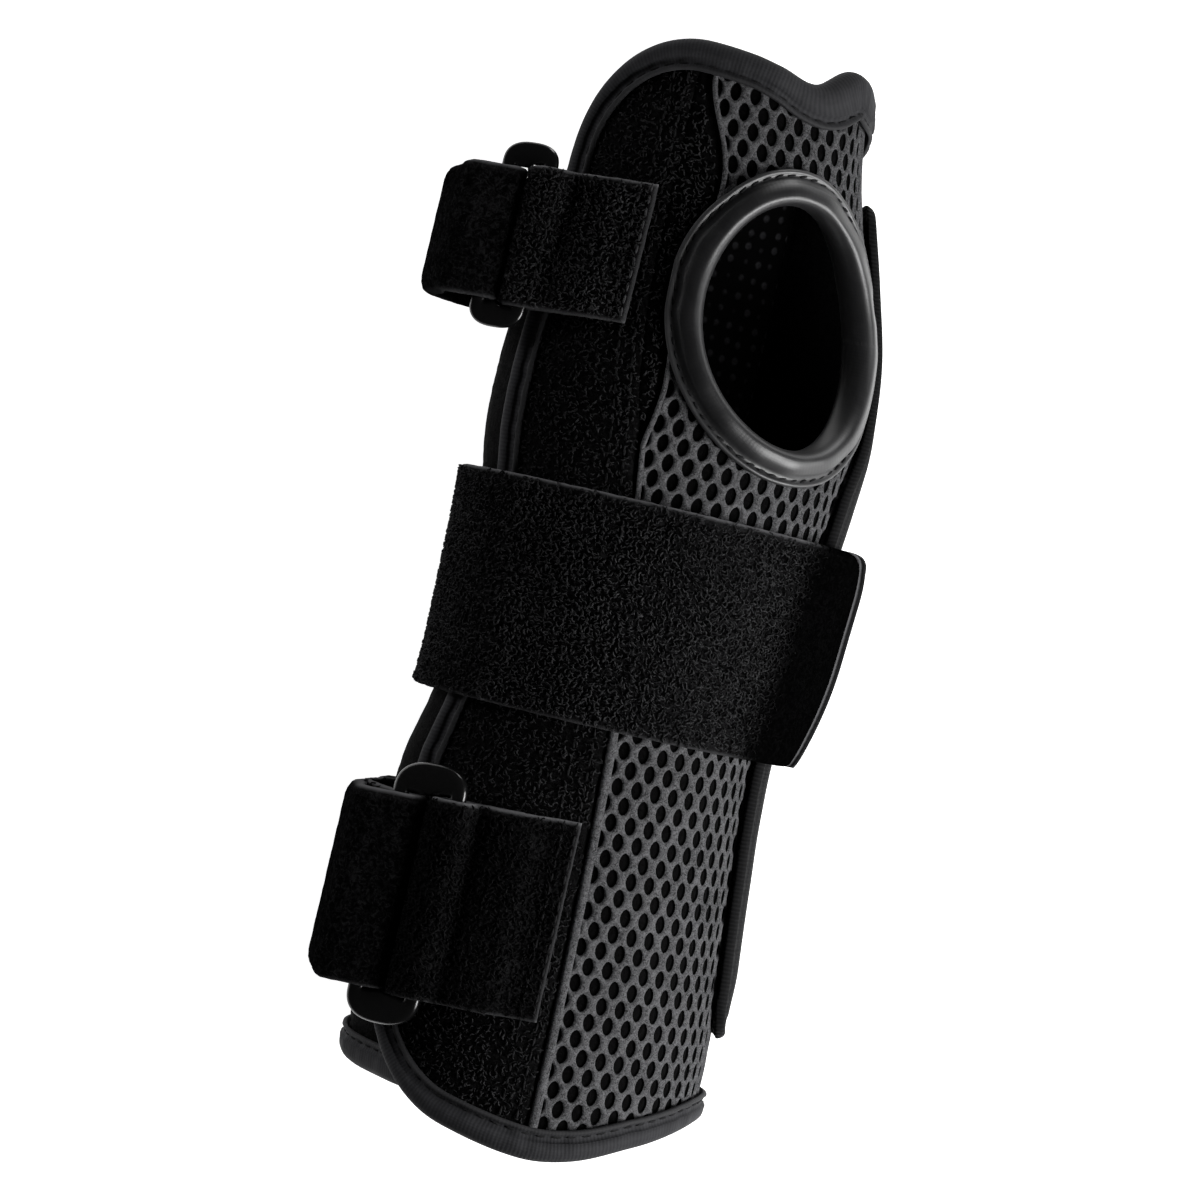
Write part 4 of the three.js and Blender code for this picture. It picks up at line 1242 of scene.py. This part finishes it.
def wrap_cut(ys):
    """How far the wrap strap's end is cut back: a shallow curve, with its far corner cut most."""
    far = corner_drop(WRAP["to"] - ys, WRAP["far_corner"]) * WRAP["far_corner_length"] / WRAP["far_corner"]
    curve = WRAP["end_curve"] * off_wrap_middle(ys) ** 2
    return curve + corner_drop(ys - WRAP["from"], WRAP["near_corner"]) + far


def wrap_line(ys):
    """Line of the wrap strap: round the sleeve, over the outer flap's binding and out to its free end."""
    rises, falls = (240, 292), (314, 332)
    turns = np.linspace(WRAP["sewn"], WRAP["leaves"], 240)[:, None]
    over = smoothstep(turns, *rises) * (1 - smoothstep(turns, *falls)) * PANEL_MARGIN
    lying = round_point(turns, ys[None, :], GAP + STRAP / 2 + over)
    slopes = np.radians(FREE_END[:, 1])
    runs = np.stack([np.cos(slopes), 0 * slopes, -np.sin(slopes)], -1)
    drawn_in = WRAP["near_draw"] * np.minimum(off_wrap_middle(ys), 0) ** 2
    free = np.cumsum(FREE_END[:, :1] * runs, axis=0)[:, None, :] - drawn_in[:, None] * runs[0]
    whole = np.concatenate([lying[:-1], smooth_curve(np.concatenate([lying[-1:], lying[-1] + free]))])
    share = np.linspace(0, 1, 400)
    cut_rows = zip(np.moveaxis(whole, 1, 0), wrap_cut(ys))
    return np.stack([at_lengths(row, share * (run_lengths(row)[-1] - cut)) for row, cut in cut_rows], axis=1)


def wrap_hook_line(ys):
    """Line of the hook patch: under the strap's last stretch, with a lip that turns out below its end."""
    whole = wrap_line(ys)
    run = whole[-1] - whole[-2]
    run /= np.linalg.norm(run, axis=-1, keepdims=True)
    under = np.stack([run[..., 2], 0 * run[..., 0], -run[..., 0]], -1)
    tip = whole[-1] + under * ((STRAP + WRAP_HOOK["thickness"]) / 2 + GAP)
    slope = math.radians(WRAP_HOOK["lip_slope"])
    lip_run = np.array([math.cos(slope), 0, -math.sin(slope)])
    bend = tip + run * WRAP_HOOK["below"]
    sewn = [tip - run * back for back in np.linspace(WRAP_HOOK["length"], 0, 4)]
    lip = [bend + lip_run * out for out in np.linspace(WRAP_HOOK["lip_from"], WRAP_HOOK["lip"], 4)]
    return smooth_curve(np.stack(sewn + lip))


def ring_frame(strap):
    """A ring's middle, the ways across it and out of its face, and how far its bars lie from the middle."""
    tilt = math.radians(strap["tilt"])
    height = middle_height(np.array(strap["y"])) + strap["ring_rise"]
    middle = np.array([strap["ring_x"], strap["y"], height])
    across = np.array([-math.cos(tilt), 0, -math.sin(tilt)])
    out = np.array([-math.sin(tilt), 0, math.cos(tilt)])
    return middle, across, out, (strap["ring_width"] - strap["bar_wide"]) / 2


def bar_points(strap, side, ys):
    """Points along the middle of a ring's far bar, or of its near bar for side -1."""
    middle, across, _, bar_at = ring_frame(strap)
    return np.stack(np.broadcast_arrays(middle[0], ys, middle[2]), -1) + across * side * bar_at


def slanted(strap, points):
    """Points, moved along the sleeve by a strap's slant; those at SLANT_ABOUT_X stay in place."""
    moved = np.array(points, float)
    moved[..., 1] += strap["slant"] * (moved[..., 0] - SLANT_ABOUT_X)
    return moved


def on_sleeve(strap, ys, places):
    """Rows of points at (turn, lift) on the sleeve, run at the strap's slant."""
    shifted = [(turn, lift, slanted(strap, round_point(turn, ys, lift))[..., 1]) for turn, lift in places]
    return [round_point(turn, shift, lift) for turn, lift, shift in shifted]


def turn_round_bar(strap, side, ys):
    """Rows of points round a ring's bar: from below it, up through the ring's opening and over it."""
    _, across, out, _ = ring_frame(strap)
    clear = GAP + STRAP / 2
    bar = bar_points(strap, side, ys)
    wide = strap["bar_wide"] / 2 + clear + strap["slack"]
    high = strap["bar_thick"] / 2 + clear
    places = [(wide * math.cos(a), high * math.sin(a)) for a in np.linspace(-np.pi / 2, np.pi / 2, 7)]
    places.append((-strap["bar_wide"] / 2 - GAP, high))
    return [slanted(strap, bar - across * side * beside + out * above) for beside, above in places]


def ring_strap_line(strap, ys):
    """Line of a ring strap: from the back of the sleeve, round the ring's far bar and back in a bulge."""
    _, across, out, _ = ring_frame(strap)
    lie = GAP + STRAP / 2
    doubled = lie + STRAP + 2 * GAP
    back = strap["back_rise"]
    past_bar, half_bulge, drawn_in, loose = 6, 9, 2.6, 0.4
    above_bar = strap["bar_thick"] / 2 + GAP + STRAP / 2 + loose
    over_bar = bar_points(strap, 1, ys) + across * past_bar + out * above_bar
    from_edge = np.minimum(ys - ys.min(), ys.max() - ys)
    deep, long = BULGE_ROUNDING
    left = -strap["reach"] + STRAP / 2 + corner_drop(from_edge, long) * deep / long
    reach = np.stack(np.broadcast_arrays(left, ys, middle_height(ys) + strap["bulge_rise"]), -1)
    # Places on the sleeve on the way out and back: turn, and the lift above a strap that lies flat
    lying = [(turn, 0.0) for turn in (152, 180, 208, 213, 218, 223, 228, 233)]
    rising = [(241, back), (252, 0.5 + back), (264, 1.4 + back / 2), (277, 2.6)]
    closing = [(249, 1.4 + back), (241, back), (234, back / 2), (228, 0)]
    shoulder = reach + (strap["shoulder"], 0, half_bulge)
    bulge = (over_bar, shoulder, reach, reach + (drawn_in, 0, -half_bulge))
    rows = on_sleeve(strap, ys, [(turn, lie + lift) for turn, lift in lying + rising])
    rows += turn_round_bar(strap, 1, ys) + [slanted(strap, point) for point in bulge]
    rows += on_sleeve(strap, ys, [(turn, doubled + lift) for turn, lift in closing])
    return smooth_curve(np.stack(rows))


def tab_line(strap, ys):
    """Line of a doubled tab: from under its fold, round the ring's near bar and back to its sewn end."""
    lie = GAP + STRAP / 2
    doubled = lie + STRAP + GAP
    fold, rise = strap["tab_fold"], strap["tab_rise"]
    # Places of the tab's under and upper layers on the sleeve: turn, lift
    under = [(fold + 6, lie), (fold, lie + rise / 6), (fold - 6, lie + rise * 0.9), (fold - 10, lie + rise)]
    over = [
        (fold - 5, doubled + rise), (fold, doubled + 0.3 + rise / 3), (fold + 5, doubled),
        (fold + 8.5, doubled - 0.3), (fold + 12, lie + 0.5),
    ]
    sewn = [(turn, lie) for turn in np.linspace(fold + 15, strap["tab_end"], 3)]
    rows = on_sleeve(strap, ys, under) + turn_round_bar(strap, -1, ys) + on_sleeve(strap, ys, over + sewn)
    return smooth_curve(np.stack(rows))


def signed_power(values, power):
    return np.sign(values) * np.abs(values) ** power


def ring_piece(end, strap):
    """Moulded ring: two bars and two shallow end caps, with a flat face and rounded shoulders."""
    middle, across, out, bar_at = ring_frame(strap)
    straight = max(strap["strap_band"], strap["band"]) / 2 + GAP
    cap_shape, bar_shape = 0.75, 0.8
    angle = np.linspace(0, np.pi, 33)
    cap_across = bar_at * signed_power(np.cos(angle), cap_shape)
    half = np.stack([cap_across, straight + strap["cap"] * np.sin(angle) ** cap_shape], -1)
    bar = np.stack(np.broadcast_arrays(-bar_at, np.linspace(straight, -straight, 25)[1:-1]), -1)
    outline = np.concatenate([half, bar, -half, -bar])
    run = np.roll(outline, -1, 0) - np.roll(outline, 1, 0)
    side = np.stack([run[:, 1], -run[:, 0]], -1) / np.linalg.norm(run, axis=-1, keepdims=True)
    angle = np.linspace(0, math.tau, 20, endpoint=False)
    across_bar = signed_power(np.cos(angle), bar_shape)[:, None]
    high = strap["bar_thick"] / 2 * signed_power(np.sin(angle), bar_shape)
    rim = side * strap["bar_wide"] / 2
    opening = bar_at - strap["bar_wide"] / 2
    beside = np.where(outline[:, 0] > 0, strap["strap_band"], strap["band"]) / 2 + GAP / 2
    corner = np.stack([np.clip(outline[:, 0], -opening, opening), np.sign(outline[:, 1]) * beside], -1)
    in_cap = np.abs(outline[:, 1:]) > straight - GAP / 2
    inward = np.where(in_cap, corner - outline, -rim)
    reach = np.maximum(across_bar, 0) * rim[:, None] + np.maximum(-across_bar, 0) * inward[:, None]
    sideways, lengthways = np.moveaxis(outline[:, None] + reach, -1, 0)
    points = middle + across * sideways[..., None] + out * np.broadcast_to(high, sideways.shape)[..., None]
    points[..., 1] += lengthways
    return swept_piece(f"{end}_ring_moulding", slanted(strap, points), RING_PLASTIC)


wrap_width = WRAP["to"] - WRAP["from"]
webbing = {
    # The wrap strap's end is painted in shade, near black and without pile
    "wrap_strap": ribbon(
        "wrap_strap_webbing", STRAP_CLOTH, wrap_width, WRAP["from"], wrap_line, STRAP_CELL, STRAP,
        STRAP_BEAD, bare=lambda ys: WRAP["bare"] - wrap_cut(ys), pale_end=(0.0, 0.0),
    ),
    "wrap_hook": ribbon(
        "wrap_hook_patch", HOOK_PATCH, wrap_width, WRAP["from"], wrap_hook_line, HOOK_CELL,
        WRAP_HOOK["thickness"], HOOK_BEAD, pale_end=(WRAP_HOOK["pale_line"], 1.0),
    ),
}
for end, strap in RING_STRAPS.items():
    strips = (("tab", strap["band"], tab_line), ("strap", strap["strap_band"], ring_strap_line))
    for part, width, line in strips:
        webbing[f"{end}_{part}"] = ribbon(
            f"{end}_{part}_webbing", STRAP_CLOTH, width, strap["y"] - width / 2, lambda ys: line(strap, ys),
            STRAP_CELL, WEBBING, STRAP_BEAD,
        )
    webbing[f"{end}_ring"] = {"piece": ring_piece(end, strap)}

# Pile of each strap: thread, loops per square millimetre, seed
STRAP_PILES = {
    "wrap_strap": (STRAP_THREAD, 1.9, 31), "hand_tab": (STRAP_THREAD, 1.9, 32),
    "forearm_tab": (SHADED_STRAP_THREAD, 1.8, 33), "hand_strap": (SHADED_STRAP_THREAD, 0.8, 34),
    "forearm_strap": (SHADED_STRAP_THREAD, 0.8, 35),
}


def strip_pile(name, thread, per_square_mm, seed):
    """Pile on the outside of a strip, clear of its edges, thinning out into the painted shade at the wrap
    strap's end.
    """
    inner = (slice(4, -4), slice(3, -3))
    top, out, wear_and_painted_shade = (webbing[name][part][inner] for part in ("top", "out", "wear_and_painted_shade"))
    return loop_pile(f"{name}_pile", top, out, thread, per_square_mm, seed, wear_and_painted_shade)


piles = {}
for name, looks in STRAP_PILES.items():
    brush(webbing[name]["piece"], STRAP_CLOTH, STRAP_TUFT, STRAP_TUFTS_PER_METRE)
    piles[name] = strip_pile(name, *looks)


# Stitching

def stitch_lines(name, lines, material, pitch, length, width, height, slant=0.0, uneven=0.08, seed=3):
    """Rows of stitches along lines; each line is its points and the ways out of the cloth there."""
    points, ups = (np.concatenate(parts) for parts in zip(*lines))
    ups = ups / np.linalg.norm(ups, axis=-1, keepdims=True)
    edges, first = [], 0
    for line, _ in lines:
        edges += [(first + k, first + k + 1) for k in range(len(line) - 1)]
        first += len(line)
    mesh = bpy.data.meshes.new(name)
    mesh.from_pydata((points * MM).tolist(), edges, [])
    mesh.attributes.new("stitch_up", "FLOAT_VECTOR", "POINT").data.foreach_set(
        "vector", ups.astype(np.float32).ravel()
    )
    sizes = {
        "Pitch": pitch * MM, "Stitch Length": length * MM, "Stitch Width": width * MM,
        "Stitch Height": height * MM, "Slant": slant, "Unevenness": uneven, "Seed": seed,
        "Material": material,
    }
    return through_nodes(add_object(name, mesh), STITCH_TREE, sizes)


def binding_stitch_line(path, inward):
    """Closed line of a binding's stitches, some way in from the path of its edge."""
    turn, y, _ = path
    places = inward_places(turn, y, np.broadcast_to(inward, turn.shape)[:, None])
    turn, y = (np.append(place[:, 0], place[0, 0]) for place in places)
    return with_way_out(turn, y, STITCH_LIFT)


def grid_rows(name, *backs):
    """Lines across a strip, clear of its sides, some distances before its far end."""
    top, out = webbing[name]["top"], webbing[name]["out"]
    lengths = run_lengths(top[:, top.shape[1] // 2])
    lines = []
    for back in backs:
        row = int(np.argmin(np.abs(lengths - (lengths[-1] - back))))
        widths = run_lengths(top[row])
        inner = (widths > STITCH_INSET) & (widths < widths[-1] - STITCH_INSET)
        lines.append((top[row][inner] + STITCH_RISE * out[row][inner], out[row][inner]))
    return lines


# Rows of stitches: back from the panel's seam, back from a tab's sewn end, and at the hand tab's fold
SEAM_ROWS = (2.4, 5.4)
TAB_END_ROWS = (1.6, 3.6)
TAB_FOLD_ROW = 19.5
# After its thread, each row says the pitch, length, width and height of its stitches
edge_stitches = stitch_lines(
    "edge_binding_stitches", [binding_stitch_line(edge_path, BINDING_WIDTH + edge_extra - HEM_STITCH)],
    SEWING_THREAD, 3.0, 2.2, 0.55, 0.45,
)
thumb_stitches = stitch_lines(
    "thumb_binding_stitches", [binding_stitch_line(thumb_path, THUMB_BINDING_WIDTH - HEM_STITCH)],
    SEWING_THREAD, 2.6, 1.9, 0.55, 0.45, slant=0.2, uneven=0.15, seed=7,
)
seam_y = np.linspace(-99, 101, 240)
seam_at = seam_turn(seam_y)
seam_rows = [seam_at - back / mm_per_degree(seam_at, seam_y) for back in SEAM_ROWS]
seam_stitches = stitch_lines(
    "front_panel_seam_stitches", [with_way_out(turn, seam_y, STITCH_RISE) for turn in seam_rows],
    SEWING_THREAD, 2.8, 2.1, 0.5, 0.4, seed=9,
)
hand_tab_stitches = stitch_lines(
    "hand_tab_stitches", grid_rows("hand_tab", *TAB_END_ROWS), PALE_THREAD, 2.4, 1.9, 0.5, 0.45, seed=4
)
tab_stitches = stitch_lines(
    "tab_stitches", grid_rows("forearm_tab", *TAB_END_ROWS) + grid_rows("hand_tab", TAB_FOLD_ROW),
    SEWING_THREAD, 2.4, 1.9, 0.5, 0.45, seed=4,
)
pocket_y = np.linspace(POCKET["from"] + 4, POCKET["to"] - 4, 200)
pocket_at = read_table(POCKET_NEAR, 1, pocket_y) + POCKET_STITCH / OUTER_MM_PER_DEGREE
pocket_stitches = stitch_lines(
    "pocket_stitches", [with_way_out(pocket_at, pocket_y, POCKET["lift"] + POCKET["thickness"] - 0.2)],
    SEWING_THREAD, 2.8, 2.1, 0.5, 0.4, seed=6,
)


# Every piece rides on the one body and hides the parts of model.glb that it stands for; the table also lists
# what each is cut from
wrap, hook = webbing["wrap_strap"], webbing["wrap_hook"]
pieces = {
    loop_panel: ("loop_cloth", ["loop_panel"]),
    back_panel: ("loop_cloth", ["back_panel"]),
    net_back: ("spacer_mesh", ["mesh_panel"]),
    net: ("spacer_mesh", []),
    selvedge: ("spacer_mesh", []),
    front_pile: ("loop_cloth", []),
    seam_strip_pile: ("loop_cloth", []),
    edge_binding: ("edge_tape", ["edge_binding"]),
    thumb_binding: ("satin_tape", ["thumb_binding"]),
    pocket: ("pocket_cloth", ["stay_pocket"]),
    wrap["piece"]: ("brushed_strap", ["wrap_strap"]),
    hook["piece"]: ("hook_patch", ["wrap_hook"]),
    edge_stitches: ("edge_tape", []),
    thumb_stitches: ("satin_tape", []),
    seam_stitches: ("loop_cloth", []),
    tab_stitches: ("brushed_strap", []),
    hand_tab_stitches: ("brushed_strap", []),
    pocket_stitches: ("pocket_cloth", []),
}
for pile in piles.values():
    pieces[pile] = ("brushed_strap", [])
for end in RING_STRAPS:
    for part, slot in (("tab", "brushed_strap"), ("strap", "brushed_strap"), ("ring", "ring_plastic")):
        pieces[webbing[f"{end}_{part}"]["piece"]] = (slot, [f"{end}_{part}"])
for piece, (slot, nodes) in pieces.items():
    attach(piece, "root")
    if nodes:
        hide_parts(*nodes)

wrap["length"] * MM
for tape, width, path, held_by in (
    (edge_binding, edge_tape_width, edge_path, [loop_panel, back_panel, net_back]),
    (thumb_binding, thumb_tape_width, thumb_path, [net_back]),
):
    width * MM
    path[2][-1] * MM
hook["length"] * MM
for end, strap in RING_STRAPS.items():
    strips = (("tab", strap["band"], loop_panel), ("strap", strap["strap_band"], back_panel))
    for name, width, under in strips:
        strip = webbing[f"{end}_{name}"]
        width * MM
        strip["length"] * MM


# Camera, floor and light; the camera and the lights are placed in metres
camera = add_object("camera", bpy.data.cameras.new("camera"))
camera.location = (-0.00657, -0.00065, 0.766)
camera.rotation_euler = (0, 0, math.radians(13))
camera.data.lens = 110.67
camera.data.sensor_width = 36.0
camera.data.clip_start = 0.01
bpy.context.scene.camera = camera

floor_material, _ = new_material(
    "pale_floor", Base_Color=(0.8, 0.8, 0.8, 1), Roughness=0.9, Specular_IOR_Level=0.1,
    Emission_Color=(1, 1, 1, 1), Emission_Strength=0.95,
)
floor_corners = 3000.0 * np.array([(-1, -1, 0), (1, -1, 0), (1, 1, 0), (-1, 1, 0)])
floor = make_piece("floor", floor_corners, np.array([[0, 1, 2, 3]]), floor_material)
floor.visible_diffuse = False

world = bpy.data.worlds.new("studio")
bpy.context.scene.world = world
world.use_nodes = True
world.node_tree.nodes["Background"].inputs["Color"].default_value = (1, 1, 1, 1)
world.node_tree.nodes["Background"].inputs["Strength"].default_value = 0.04


def soft_light(name, place, aim, size, watts, glints=True):
    """Round lamp that faces a point; glints says whether shiny pieces mirror it."""
    lamp = bpy.data.lights.new(name, "AREA")
    lamp.shape = "DISK"
    lamp.size = size
    lamp.energy = watts
    light = add_object(name, lamp)
    light.location = place
    way = np.array(aim) - np.array(place)
    level = math.hypot(way[0], way[1])
    light.rotation_euler = (math.atan2(level, -way[2]), 0, math.atan2(-way[0], way[1]))
    light.visible_camera = False
    light.visible_glossy = glints


soft_light("key_light", (0.36, -0.08, 0.23), (0.0, -0.05, 0.04), 0.28, 3.2)
soft_light("left_light", (-0.75, 0.3, 0.12), (0.0, 0.0, 0.03), 0.3, 4.0, glints=False)
soft_light("back_light", (0.2, 0.8, 0.1), (0.0, 0.0, 0.03), 0.3, 2.0)
soft_light("front_light", (0.0, -0.8, 0.08), (0.0, 0.0, 0.03), 0.3, 0.7, glints=False)
bpy.context.scene.view_settings.view_transform = "Standard"
